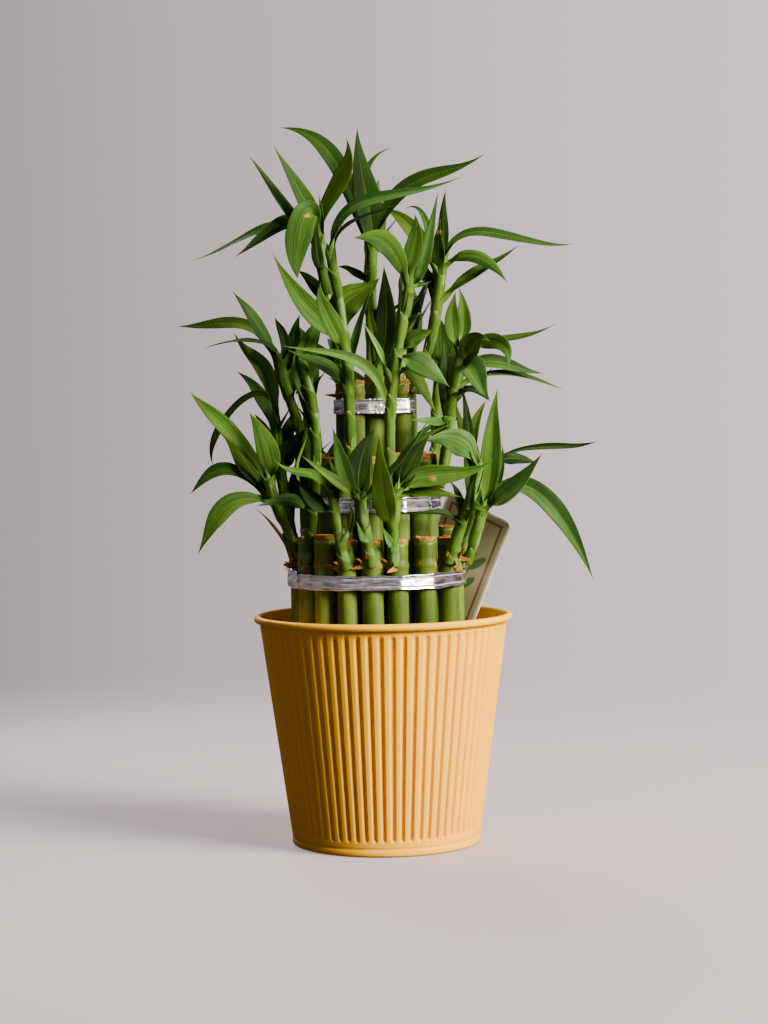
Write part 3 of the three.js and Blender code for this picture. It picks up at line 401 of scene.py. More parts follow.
# The front shoots: [cane, the stalk's foot, two points on the way and its top as x and z, the
# depths of foot and top, and its leaves]. A leaf is [tone, place on the stalk, x, z, x, z, tip x,
# tip z, depth of the tip, width, tilt of its face from the front upwards, where it is widest].
FRONT_SHOOTS = [
    ["cane_outer_14", [-49, 162, -53, 177, -60, 195, -65, 211], [-9, -26], [
        ["bright", 0.75, -82, 200, -94.5, 190.5, -107, 168.5, -40, 12.5, 25, 0.66],
        ["bright", 1, -64.5, 223, -69, 238, -76, 251, -34, 13, 10],
        ["olive", 0.8, -76, 218, -83, 229, -93, 239, -8, 14, 30],
        ["bright", 0.95, -80, 232, -96, 249, -110, 263, -22, 9.5, 15, 0.55],
        ["mid", 0.7, -84.5, 217, -99.5, 215, -111, 203.5, -14, 8, 20, 0.55],
        ["dark", 0.9, -64, 226, -67, 240, -73, 250, 6, 9, 10],
        ["dead", 0.02, -57, 176, -64, 186, -74, 196, -12, 3.5, 50],
    ]],
    ["cane_outer_13", [-50, 162, -54, 190, -58, 215, -59.5, 240], [6, 2], [
        ["pale", 0.97, -66, 254, -73, 266, -83, 274.5, 6, 9, 25],
        # soft: painted light on a leaf that lies in shade.
        ["soft", 1, -64.5, 271, -74, 284, -84, 297.5, -6, 10.5, 10],
        ["olive", 1, -71, 261.3, -91, 245, -97, 220, -2, 6, 40, 0.72],
        ["bright", 0.6, -61, 232, -57, 244, -51.5, 255, -16, 4.5, 50],
    ]],
    ["cane_middle_10", [-37, 206, -44, 232, -52, 257, -58, 280], [0, -6], [
        ["bright", 0.98, -74, 299.5, -94, 302, -117, 301, 24, 8.5, 35, 0.55],
        ["mid", 1, -66, 294, -74, 307, -84.5, 321, -10, 9, 30, 0.58],
        ["dark", 0.95, -54.5, 290, -57, 299, -60, 305.5, 6, 6, 20],
        ["dark", 0.96, -66, 290, -83, 292, -101, 288, -18, 4.5, 60],
        ["dark", 0.9, -62, 285, -68, 293, -74.5, 297.5, 10, 4, 40],
        ["dark", 0.85, -51, 283, -48.5, 296, -45, 307, 12, 9, 10],
    ]],
    ["cane_outer_15", [-43.5, 162, -39, 200, -37.5, 240, -45, 280], [-27, -34], [
        ["bright", 1, -40.5, 289, -36.5, 298, -31.5, 306, -30, 9.5, 15],
        ["bright", 0.35, -49, 215, -46, 228, -42.5, 241, -44, 3.5, 60],
    ]],
    ["cane_outer_17", [-20.5, 159, -24, 173, -26.5, 187, -28, 199], [-46, -52], [
        ["dark", 0.8, -37, 197, -44, 204, -50, 213, -52, 9.5, 20],
        ["bright", 1, -38, 213, -50, 216, -63, 224.5, -58, 7, 40],
        ["olive", 0.95, -26, 207, -27.5, 215, -30.5, 225, -50, 5, 10],
        ["pale", 0.35, -18.5, 183, -17, 191, -19, 200, -58, 3.5, 20],
    ]],
    ["cane_outer_01", [-6, 160, -8.5, 175, -11, 188, -12.5, 200], [-48, -55], [
        ["olive", 0.97, -22, 207, -34, 216, -47, 226, -72, 6.5, 30],
        ["mid", 1, -20, 212, -24, 226, -28, 242, -60, 9.5, 10],
        ["dark", 1, -13, 213, -10, 227, -2.5, 240.5, -50, 15, 0],
        ["pale", 0.35, -11, 176, -13, 181, -15, 187, -60, 3.5, 20],
        ["bright", 0.95, -9, 205, -7, 213, -5.5, 222.5, -66, 3.5, 10],
        ["pale", 1, -0.5, 209, 15, 226, 29, 246.5, -74, 5, 30],
        ["bright", 1, -11.5, 199, -11, 193, -11, 184, -68, 8.5, 0],
    ]],
    ["cane_outer_02", [7, 160, 6.5, 174, 7, 188, 8.5, 203], [-46.5, -54], [
        ["olive", 0.5, 2, 196, 0, 214, -1, 238, -66, 13, 0],
        ["dark", 1, 14, 213, 20.5, 225, 29, 235.5, -52, 11.5, 10],
        ["mid", 0.97, 13, 223, 26, 235, 40, 242, -44, 6.5, 50],
        ["pale", 0.2, 5, 173, 2.5, 178, 0, 184, -60, 4.5, 20],
        ["bright", 0.98, 25, 211.5, 45, 213.3, 65.5, 221.5, -60, 12, 10, 0.4],
        ["olive", 0.95, 23, 203, 35, 202, 47, 199.5, -50, 7, 40],
    ]],
    ["cane_outer_04", [38.5, 162.5, 44, 178, 51, 197, 57, 216], [-21, -38], [
        ["bright", 0.3, 48.5, 190.5, 54, 194, 60.5, 190, -42, 9, 30],
        ["pale", 0.6, 51.5, 196, 53, 205, 57, 214, -44, 5, 20],
        ["olive", 0.5, 46, 194, 44, 202, 39, 210, -30, 6, 20],
        ["pale", 1, 49, 228.5, 38, 233.5, 24, 232, -38, 15, 10],
        ["dark", 1, 52, 232, 50, 248, 47, 266, -34, 6, 10],
        ["olive", 1, 53, 231, 56, 245, 62, 256, -24, 7, 15],
    ]],
    ["cane_outer_05", [48.5, 162.5, 52.5, 171, 55.5, 182, 59, 193], [0, -8], [
        ["pale", 1, 70.7, 200.3, 82.5, 210.8, 94, 225, -26, 11, 15],
        ["bright", 1, 63, 214, 65, 239, 68.5, 263, -14, 12.5, 0],
        ["dull", 0.85, 79, 206.5, 102.3, 189.5, 122.5, 150, 4, 12, 15, 0.62],
        ["dark", 0.95, 66, 205, 70, 218, 70.5, 230, 6, 5, 10],
    ]],
    ["cane_outer_06", [44, 160, 52, 182, 59, 202, 65, 219], [15, 17], [
        ["mid", 1, 85, 227.2, 106, 228, 126, 231, -28, 5, 50, 0.6],
        ["dark", 1, 73, 221.3, 82, 220.8, 91, 218.5, 20, 8, 30],
    ]],
    ["cane_middle_02", [7, 206, 6, 246, 11, 285, 18, 321], [-31, -38], [
        ["bright", 1, 12, 337, 3, 348, -14, 350, -48, 12.5, 0, 0.66],
        ["bright", 1, 20, 338, 22.5, 352, 21.5, 364, -42, 10.5, 10],
        ["pale", 1, 26, 333, 31, 354, 36, 377, -36, 7, 20],
        ["dark", 0.97, 21, 322, 26, 323, 31, 325, -24, 4, 30],
        ["pale", 0.63, 21, 278.8, 31, 271.5, 40.5, 263.5, -54, 13, 10],
        ["mid", 0.66, 18, 290, 25, 294, 32.5, 296.5, -36, 10, 25],
        ["olive", 0.55, 18, 272, 26, 261, 32.5, 248, -40, 8, 15],
        ["bright", 0.3, -5, 273, -27, 284, -58, 289, -58, 7, 25],
        ["pale", 0.5, 1, 283, -4, 293, -10, 303, -42, 4, 30],
    ]],
    ["cane_centre", [-1, 250, -2, 285, -3.5, 315, -3, 342], [-7, -10], [
        ["dark", 0.25, 3.5, 292, 4.5, 314, 3.5, 334.5, -18, 13, 0],
        ["olive", 0.4, -3.5, 296, -5, 306, -4.5, 318, -22, 5, 10],
        ["dark", 1, -4, 364, -8.4, 388, -10.5, 414, -14, 16, 0],
        ["mid", 1, -5.5, 366, -5.5, 388, 10, 402, 0, 4.5, 20, 0.6],
        ["mid", 1, 14, 376, 38, 387, 63.5, 398, -24, 11, 30],
        ["mid", 1, -14, 373, -28.7, 401.3, -56, 414, 6, 11, 10, 0.6],
        ["dark", 0.8, -10, 328, -17, 332.5, -24, 333, 2, 5.5, 30],
    ]],
    ["cane_middle_12", [-17, 206, -17.5, 250, -20, 295, -28, 342], [-30, -36], [
        ["blue", 0.98, -15, 367, 13, 375.2, 51, 385, -52, 8, 30],
        ["dark", 0.95, -21, 354, -6, 363, 15, 370, -40, 4, 60],
        ["bright", 0.65, -33, 303, -47, 319, -61, 343, -60, 13, 10],
        ["bright", 0.58, -25, 297, -32, 312, -33, 325, -50, 11, 10],
        ["olive", 0.6, -21, 309, -10.5, 318.5, 1, 327.5, -28, 18, 10],
        ["pale", 0.5, -14.5, 287, -10, 304, -3, 323, -48, 5.5, 35],
        ["mid", 0.4, -27, 274, -38, 280, -54, 287, -44, 8, 20],
    ]],
    ["cane_inner_01", [-18, 261, -24, 291, -30, 321, -34, 350], [-14, -8], [
        ["mid", 1, -47.5, 362, -60.8, 381, -74, 399, -20, 6.5, 20],
        ["mid", 1, -38, 365, -47.8, 384, -59, 404, -30, 10, 15],
        ["olive", 1, -28.3, 370.5, -18.3, 388, -17, 408, -30, 10, 10, 0.6],
        ["dull", 0.97, -39.5, 366, -45.5, 349, -46, 327, -58, 16, 0, 0.62],
        ["dull", 1, -50, 360, -66, 352, -83, 340, -12, 10, 20],
        ["pale", 0.95, -57, 358, -82, 349, -107, 339, 8, 7, 45],
        ["mid", 0.95, -31.5, 356, -32, 366, -33, 376, -20, 4, 50],
    ]],
    ["cane_inner_02", [19.5, 261, 28, 284, 33, 306, 37, 332], [-5, -14], [
        ["mid", 1, 54, 352, 83, 348, 114, 345, -10, 6.5, 30, 0.5],
        ["mid", 1, 50, 338.7, 63.2, 335, 75, 322.5, -26, 8, 20, 0.55],
        ["bright", 0.75, 52, 326.5, 67, 335, 82, 345, -20, 7.5, 35],
        ["dark", 1, 38, 348, 38.3, 363, 40, 378, -12, 6.5, 0],
        ["tipped", 0.85, 35.5, 338, 35.3, 349, 36.5, 360, -24, 7.5, 10],
        ["olive", 0.95, 24, 349, 14, 361, 4, 366.5, -12, 10, 10],
        ["blue", 0.8, 27, 328, 17, 338, 6, 356, 2, 8, 10],
    ]],
    ["cane_middle_04", [33, 206, 39, 234, 42, 260, 49, 284], [-6, -24], [
        ["bright", 0.96, 43, 296, 42.5, 308, 45, 319, -40, 9.5, 10],
        ["bright", 1, 49, 297, 49, 309, 46.5, 321, -28, 9, 0],
        # soft: painted light on a leaf that lies in shade.
        ["soft", 0.95, 52, 286, 57, 291, 64, 289.5, -42, 13, 10],
        ["mid", 0.97, 66, 289.6, 84, 292.4, 103, 299.5, -16, 6, 40],
        ["bright", 1, 63.5, 289.5, 73.3, 285, 73, 272, -48, 9.5, 10],
        ["mid", 0.75, 61, 277.8, 78, 274.7, 96, 270.5, -6, 9, 25],
        ["mid", 0.7, 67, 271, 88, 267.9, 106.5, 261, 6, 5, 45],
        ["pale", 0.85, 53, 276, 58, 266, 64, 255.5, -50, 14, 0],
        ["dark", 0.65, 50, 262, 57, 260, 64.5, 254, -28, 5, 30],
        ["dark", 0.6, 51, 262, 59, 266, 66, 277, -12, 3.5, 50],
        ["pale", 0.5, 34, 243.5, 26, 244, 17, 244.5, -34, 6, 20],
    ]],
]

# Leaves that fill the crown among the front shoots: [cane, and then a leaf as above].
FILLING_LEAVES = [
    ["cane_outer_15", "dull", 0.25, -50, 198.5, -61, 199, -73, 196, -50, 8, 15],
    ["cane_outer_13", "dark", 0.62, -55, 224, -49, 233, -43, 241.5, -14, 12, 15],
    ["cane_outer_13", "olive", 0.5, -56, 228, -52, 243, -47, 256, -4, 10, 10],
    ["cane_outer_15", "dark", 0.62, -38.5, 256, -37, 266, -30.5, 274, -24, 5, 20],
    ["cane_outer_15", "bright", 0.72, -45, 270, -44.5, 286, -38, 301, -38, 10, 10],
    ["cane_outer_15", "olive", 0.5, -40, 250, -46, 268, -50, 284, -22, 9, 10],
    ["cane_middle_10", "olive", 0.7, -49, 268, -46, 282, -43, 295, 8, 9, 10],
    ["cane_inner_01", "dark", 0.55, -33.5, 319, -40, 327, -46.5, 332, 4, 8, 10],
    ["cane_inner_01", "dark", 0.8, -34.5, 338, -35.5, 350, -34.5, 364, -20, 7, 10],
    ["cane_inner_02", "blue", 0.9, 31, 345, 26.5, 363, 16, 366.5, 6, 5, 20],
    ["cane_inner_02", "dark", 0.6, 33, 318, 31, 326, 29, 333, -8, 8, 10],
    ["cane_middle_04", "dark", 0.4, 38, 262, 38.5, 278, 36.5, 293, 2, 9, 10],
    ["cane_middle_04", "olive", 0.6, 43, 270, 44, 284, 42, 297, -14, 8, 10],
    ["cane_outer_04", "olive", 0.85, 53, 224, 48, 238, 44, 256, -14, 9, 10],
    ["cane_outer_05", "mid", 0.6, 55, 196, 51, 214, 50, 234, -16, 9, 10],
    ["cane_outer_04", "dark", 0.45, 38, 190, 28, 191, 15, 190, -46, 4.5, 40],
    ["cane_outer_13", "dark", 0.3, -50, 204, -46, 220, -43, 236, 14, 10, 10],
]

# The other shoots grow by one rule: [cane, bearing off the cane's own, height of the stalk].
OTHER_SHOOTS = [
    ["cane_outer_09", 4, 66],
    ["cane_outer_10", -4, 52],
    ["cane_outer_11", 6, 64],
    ["cane_outer_12", -36, 50],
    ["cane_middle_05", 26, 66],
    ["cane_middle_06", 6, 84],
    ["cane_middle_07", 8, 66],
    ["cane_middle_08", -8, 88],
    ["cane_middle_09", -6, 64],
    ["cane_inner_03", 10, 70],
    ["cane_inner_04", -6, 84],
    ["cane_inner_05", -60, 66],
]

# Gaps that can be looked through from the front, and how far the plant reaches to each side
# behind them, as the eye sees them.
LOOK_THROUGH = np.array([
    [-25, -8, 321, 346],
    [-18, -8, 289, 314],
    [-1, 11, 312, 338],
    [11, 17, 341, 348],
    [20, 32, 243, 265],
    [40, 50, 326, 341],
    [-35, -28, 233, 266],
    [55, 59, 221, 246],
])
BACK_REACH = [(300, -50, 52), (350, -34, 38), (385, -28, 20)]


def shows_in_gap(points):
    """How many of the points the eye sees in a gap, or past the plant's reach to a side."""
    reach = EYE_DISTANCE / (EYE_DISTANCE + points[:, 1])
    x = EYE_X + (points[:, 0] - EYE_X) * reach
    z = EYE_Z + (points[:, 2] - EYE_Z) * reach
    tops = np.array([level[0] for level in BACK_REACH])
    level = np.searchsorted(tops, z, side="right")
    sides = np.array([level[1:] for level in BACK_REACH] + [(1, -1)])[level]
    outside = (x < sides[:, 0]) | (x > sides[:, 1])
    x0, x1, z0, z1 = LOOK_THROUGH.T
    inside = (x[:, None] > x0) & (x[:, None] < x1) & (z[:, None] > z0) & (z[:, None] < z1)
    return int(np.count_nonzero(outside | inside.any(axis=1)))


def direction(bearing, rise):
    """Unit direction at that bearing from the front towards +X, and that rise."""
    level = math.cos(rise)
    return np.array([math.sin(bearing) * level, -math.cos(bearing) * level, math.sin(rise)])


def roomiest(standing, tries, grow, need, misplaced=None):
    """The first of the tries that leaves room all round, or else the roomiest one."""
    best = None
    for choice in tries:
        grown = grow(*choice)
        samples = grown.samples()
        fault = misplaced(samples) if misplaced else 0
        room = standing.spare(grown.owner, samples, need) - fault
        if room >= need:
            return grown, room
        if best is None or room > best[1]:
            best = (grown, room)
    return best


STALK_TRIES = [(share, turn) for share in (1, 0.85, 0.7, 0.55) for turn in (0, 12, -12, 24, -24, 36, -36)]
FRONT_TRIES = sorted(
    [
        (shift, bow)
        for shift in (0, 5, -5, 10, -10, 16, -16, 22, -22, 30, -30)
        for bow in (0, 6, -6, 12, -12)
    ],
    key=lambda choice: abs(choice[0]) + 2 * abs(choice[1]),
)
OTHER_TRIES = [
    (share, turn, rise)
    for share in (1, 0.8, 0.62)
    for turn in (0, 14, -14, 28, -28, 42, -42, 60, -60, 80, -80)
    for rise in (0, 12, -12, 24)
]


def front_stalk(name, line, depth):
    """A stalk through four sighted points, its depth even from foot to top."""
    depths = np.linspace(depth[0], depth[1], 4)
    points = [sight(line[2 * k], line[2 * k + 1], depths[k]) for k in range(4)]
    return Stalk(name, Curve(*points))


def other_stalk(standing, canes, draw, name, off, full_height):
    """A stalk that leaves its cane's ring and rises beside it."""
    cane = canes[name]
    lift = draw(0, 2)
    sway = draw(-0.15, 0.15)

    def grow(share, turn):
        height = full_height * share
        bearing = cane["turn"] + math.radians(off + turn)

        def out(reach, rise, swing):
            base = np.array([cane["x"], cane["y"], cane["node"] - 2 + lift + rise])
            return base + direction(bearing + swing, 0) * reach

        points = [
            out(2, 0, 0),
            out(CANE_RADIUS + 5, height * 0.3, 0),
            out(CANE_RADIUS + 8, height * 0.66, sway),
            out(CANE_RADIUS + 13, height, sway),
        ]
        return Stalk(name, Curve(*points))

    return roomiest(standing, STALK_TRIES, grow, STALK_RADIUS_FOOT + 1, shows_in_gap)[0]


def front_leaf(standing, stalk, row):
    """A leaf through sighted points; its tip may move along the line of sight, and it may bow."""
    tone, place, xa, za, xb, zb, x1, z1, depth, width, tilt = row[:11]
    belly = row[11] if len(row) > 11 else BELLY
    foot = stalk.curve.at(place)

    def grow(shift, bow):
        step = (depth + shift - foot[1]) / 3
        curve = Curve(
            foot,
            sight(xa, za, foot[1] + step + bow),
            sight(xb, zb, foot[1] + 2 * step + bow),
            sight(x1, z1, depth + shift),
        )
        return Leaf(stalk.owner, curve, width, tilt, tone, belly)

    return roomiest(standing, FRONT_TRIES, grow, CLEARANCE)


def leaf_place(index):
    """Place of a leaf of the rule on its stalk: evenly from 0.4 to the top."""
    return 0.4 + 0.6 * index / (LEAVES_A_SHOOT - 1)


def other_leaf(standing, draw, stalk, bearing, index):
    """A leaf of the rule: it heads off to one side, rises and droops in three steps."""
    share = index / (LEAVES_A_SHOOT - 1)
    full_length = draw(58, 82) * (1 - 0.15 * share)
    width = draw(9, 14)
    spread = math.radians(draw(35, 100) * (1 - 0.5 * share))
    heading = bearing + (spread if index % 2 else -spread)
    first_rise = draw(30, 46) + 42 * share
    droop = draw(12, 30) * (1 - 0.4 * share)
    tilt = draw(-22, 22)
    tone = ["dark", "mid", "bright", "olive", "mid"][(index * 3 + int(abs(tilt))) % 5]
    foot = stalk.curve.at(leaf_place(index))

    def grow(grown_share, turn, rise):
        length = full_length * grown_share
        points = [foot]
        for k in range(3):
            rising = math.radians(min(86, first_rise + rise) - k * droop)
            points.append(points[-1] + direction(heading + math.radians(turn), rising) * (length / 3))
        return Leaf(stalk.owner, Curve(*points), width, tilt, tone, face=(0, 0, 1))

    return roomiest(standing, OTHER_TRIES, grow, CLEARANCE, shows_in_gap)


def stand_canes(canes):
    """Canes, ties and card as sample points."""
    standing = Standing()
    for name, cane in canes.items():
        height = cane["top"] - SOIL_TOP
        count = math.ceil(height / SAMPLE_STEP)
        z = SOIL_TOP + height * np.arange(count + 1) / count
        points = np.stack([np.full(count + 1, cane["x"]), np.full(count + 1, cane["y"]), z], axis=1)
        standing.add(name, points, CANE_RADIUS - 2)
    for tier, middle in TIE_MIDDLE_Z.items():
        ring = [cane for cane in canes.values() if cane["tier"] == tier]
        turns = np.pi * np.arange(2 * TIE_SIDES) / TIE_SIDES
        xy = np.repeat(hull_points(ring, turns, CANE_RADIUS + TIE_GAP), 3, axis=0)
        z = np.tile(middle + np.array([-1, 0, 1]) * TIE_HEIGHT / 2, len(turns))
        standing.add(f"tie_{tier}", np.column_stack([xy, z]), 0)
    down = np.arange(0, CARD_LENGTH + 1, SAMPLE_STEP)
    across = np.arange(-CARD_WIDTH / 2, CARD_WIDTH / 2 + 0.001, SAMPLE_STEP)
    grid = np.stack(np.meshgrid(across, -down), axis=-1).reshape(-1, 2)
    flat = np.column_stack([grid, np.zeros(len(grid))])
    standing.add("care_card", moved(flat, card_matrix()), 0)
    return standing


def grow_shoots(canes):
    """Every stalk with its leaves, by cane: front stalks, other stalks, then their leaves."""
    draw = draws(SEEDS["shoots"])
    standing = stand_canes(canes)
    grown = {name: [] for name in canes}
    front = []
    for name, line, depth, rows in FRONT_SHOOTS:
        stalk = front_stalk(name, line, depth)
        standing.add(name, stalk.samples(), STALK_ROOM)
        front.append((stalk, rows))
    others = []
    for name, off, height in OTHER_SHOOTS:
        stalk = other_stalk(standing, canes, draw, name, off, height)
        standing.add(name, stalk.samples(), STALK_ROOM)
        others.append((stalk, canes[name]["turn"] + math.radians(off)))
    for stalk, rows in front:
        leaves = []
        for row in rows:
            leaf, _ = front_leaf(standing, stalk, row)
            standing.add(leaf.owner, leaf.samples(), 0)
            leaves.append((row[1], leaf))
        grown[stalk.owner].append((stalk, leaves))
    for stalk, bearing in others:
        leaves = []
        for index in range(LEAVES_A_SHOOT):
            leaf, room = other_leaf(standing, draw, stalk, bearing, index)
            if room >= LEAST_CLEARANCE:
                standing.add(leaf.owner, leaf.samples(), 0)
                leaves.append((leaf_place(index), leaf))
        grown[stalk.owner].append((stalk, leaves))
    for name, *row in FILLING_LEAVES:
        stalk, leaves = grown[name][0]
        leaf, room = front_leaf(standing, stalk, row)
        if room >= LEAST_CLEARANCE:
            standing.add(name, leaf.samples(), 0)
            leaves.append((row[1], leaf))
    return grown


# Meshes.


def ripple(points, size, seed):
    """Soft repeatable unevenness from -1 to 1: fourteen sine waves of about that size in mm."""
    rng = np.random.default_rng(seed)
    ways = unit(rng.normal(size=(14, 3)))
    rates = 2 * np.pi / (size * rng.uniform(0.6, 1.7, 14))
    phases = rng.uniform(0, 2 * np.pi, 14)
    return np.sin(points @ (ways * rates[:, None]).T + phases).sum(axis=-1) / 5


class Skin:
    """Closed surfaces gathered into one mesh, with grain, tint and finish at each point."""

    def __init__(self):
        self.points = []
        self.grain = []
        self.tint = []
        self.quads = []
        self.tris = []
        self.quad_finish = []
        self.tri_finish = []
        self.count = 0

    def tube(self, rings, grain, tint, finish=0, start=None, end=None, loop=False):
        """Rings of points (rows, columns, 3) joined in order, closed round each ring, and closed
        at both ends with a point, or back to the first ring."""
        rows, columns = rings.shape[:2]
        base = self.count
        index = base + np.arange(rows * columns).reshape(rows, columns)
        right = np.roll(index, -1, axis=1)
        if loop:
            index = np.vstack([index, index[:1]])
            right = np.vstack([right, right[:1]])
        quads = np.stack([index[:-1], right[:-1], right[1:], index[1:]], axis=-1).reshape(-1, 4)
        self._add(rings.reshape(-1, 3), grain.reshape(-1, 3), tint.reshape(-1, 4))
        self.quads.append(quads)
        self.quad_finish.append(np.full(len(quads), finish))
        if loop:
            return
        for point, row, turned in ((start, 0, True), (end, -1, False)):
            centre = self.count
            place = rings[row].mean(axis=0) if point is None else point
            self._add(
                place[None, :],
                grain[row].mean(axis=0)[None, :],
                tint[row].mean(axis=0)[None, :],
            )
            ring, after = index[row], right[row]
            if turned:
                ring, after = after, ring
            tris = np.stack([ring, after, np.full(columns, centre)], axis=-1)
            self.tris.append(tris)
            self.tri_finish.append(np.full(columns, finish))

    def _add(self, points, grain, tint):
        """Adds points with their grain and tint, and counts them."""
        self.points.append(points)
        self.grain.append(grain)
        self.tint.append(tint)
        self.count += len(points)

    def piece(self, name, materials, slot, nodes, smooth_shade=True):
        """Makes the object, at the origin, with its place in its mesh, in the CAD nodes' place."""
        points = np.concatenate(self.points) * MM
        quads = np.concatenate(self.quads)
        tris = np.concatenate(self.tris) if self.tris else np.zeros((0, 3), int)
        mesh = bpy.data.meshes.new(name)
        mesh.from_pydata(points.tolist(), [], quads.tolist() + tris.tolist())
        finish = np.concatenate(self.quad_finish + self.tri_finish).astype(np.int32)
        mesh.polygons.foreach_set("material_index", finish)
        mesh.polygons.foreach_set("use_smooth", np.full(len(finish), smooth_shade))
        grain = mesh.attributes.new("grain", "FLOAT_VECTOR", "POINT")
        grain.data.foreach_set("vector", np.concatenate(self.grain).astype(np.float32).ravel())
        tint = mesh.attributes.new("tint", "FLOAT_COLOR", "POINT")
        tint.data.foreach_set("color", np.concatenate(self.tint).astype(np.float32).ravel())
        for material in materials:
            mesh.materials.append(material)
        mesh.update()
        piece = bpy.data.objects.new(name, mesh)
        bpy.context.scene.collection.objects.link(piece)
        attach(piece, "root")
        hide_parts(*nodes)


def tinted(shape, tone=0.0, warm=0.0, dry=0.0):
    """Tint of each point: r is how light the green is, g how yellow, b how dry and brown."""
    return stacked(shape, tone, warm, dry, 1.0)


# How light and how yellow each kind of leaf is. soft is painted light: a lighter green for leaves that
# lie in shade; some other leaves in shade are also given a lighter kind than their own, as painted light.
TONES = {
    "dark": (0.07, 0.35),
    "mid": (0.31, 0.4),
    "olive": (0.32, 0.8),
    "bright": (0.46, 0.42),
    "pale": (0.62, 0.1),
    "soft": (0.74, 0.5),
    "blue": (0.45, 0.0),
    "dull": (0.37, 0.2),
    "tipped": (0.3, 0.4),
    "dead": (0.2, 0.5),
}


# Sheaths and blades. NEST_STEP is how much further out a sheath lies than the one inside it,
# SHEATH_HALF half its thickness, OPENING the length over which it opens into its blade, within the
# two OPENING_SHARES of the blade, LEAST_HALF the blade's least half width at its foot, LEAF_TWIST
# how many degrees it turns at most and TONE_SPREAD how much tones differ by chance.
SHEATH_LENGTH = 14
SHEATH_TURN = 150
SHEATH_ROWS = 8
SHEATH_HALF = 0.26
NEST_STEP = 0.22
OPENING = 14
OPENING_SHARES = (0.14, 0.34)
LEAST_HALF = 2.2
LEAF_TWIST = 14
TONE_SPREAD = 0.06
LEAF_ROWS = 30
BLADE_STEPS = np.array([-1, -0.95, -0.82, -0.62, -0.4, -0.18, 0, 0.18, 0.4, 0.62, 0.82, 0.95, 1])
BACK_STEPS = np.arange(len(BLADE_STEPS))[-2:0:-1]
ROUND_STEPS = np.concatenate([BLADE_STEPS, BLADE_STEPS[BACK_STEPS]])
# Edges are lighter by EDGE_TONE. The grain has GRAIN_LANES lanes, one to a leaf, so few look alike.
EDGE_TONE = 0.14
GRAIN_LANES = 97
# The dressed blades are drawn out to a finer tip than the solids' ones.
FINE_TIP = (1.65, 1.35)


def both_faces(side):
    """Rings round a thin sheet, from its two faces: side(1) and side(-1) share their edges."""
    return np.concatenate([side(1), side(-1)[:, BACK_STEPS]], axis=1)


def stalk_radius(t):
    """The stalk inside its sheaths: a stout foot, then slimmer, evenly to the top."""
    return 2.4 + 0.5 * (1 - t) + 0.7 * (1 - smooth(0, 0.12, t))


def swept(line, aside, across, lift, out):
    """Rings along a line: each point lies aside along across and lift along out from it."""
    return line[:, None, :] + aside[..., None] * across[:, None, :] + lift[..., None] * out[:, None, :]


def wrapped(centre, out, across, radius, turn, side, lean):
    """Arcs round a centre line: at u the point lies radius from it, turned by turn times u from
    the outer side. side is which face of the sheet this is, lean which face looks outwards."""
    u = BLADE_STEPS[None, :]
    edge = np.sqrt(np.clip(1 - u**2, 0, 1))
    far = radius[:, None] + side * lean * SHEATH_HALF * edge
    angle = turn[:, None] * u
    return swept(centre, far * np.cos(angle), out, far * np.sin(angle), across)


# Canes painted lighter or darker than the rest: painted light on canes at the shaded left, painted shade
# on canes that others shade.
CANE_PAINTED_LIGHT_AND_SHADE = {
    "cane_outer_14": 0.15,
    "cane_outer_15": 0.15,
    "cane_outer_16": 0.2,
    "cane_outer_17": -0.05,
    "cane_outer_03": -0.1,
    "cane_outer_04": -0.25,
    "cane_inner_02": -0.15,
}

# Shoots on the shaded side, whose sheaths and leaf feet are painted darker by this much: painted shade.
PAINTED_SHADE_SHOOTS = {
    "cane_outer_13": 0.16,
    "cane_outer_15": 0.24,
    "cane_middle_10": 0.2,
    "cane_middle_12": 0.14,
    "cane_inner_01": 0.1,
    "cane_centre": 0.08,
}

# Tan spots on single leaves: by cane and number of the leaf, how far along and how far aside.
SPOTS = {
    ("cane_outer_02", 4): (0.42, 0.3),
    ("cane_inner_01", 3): (0.42, -0.2),
    ("cane_inner_02", 4): (0.8, 0.2),
}


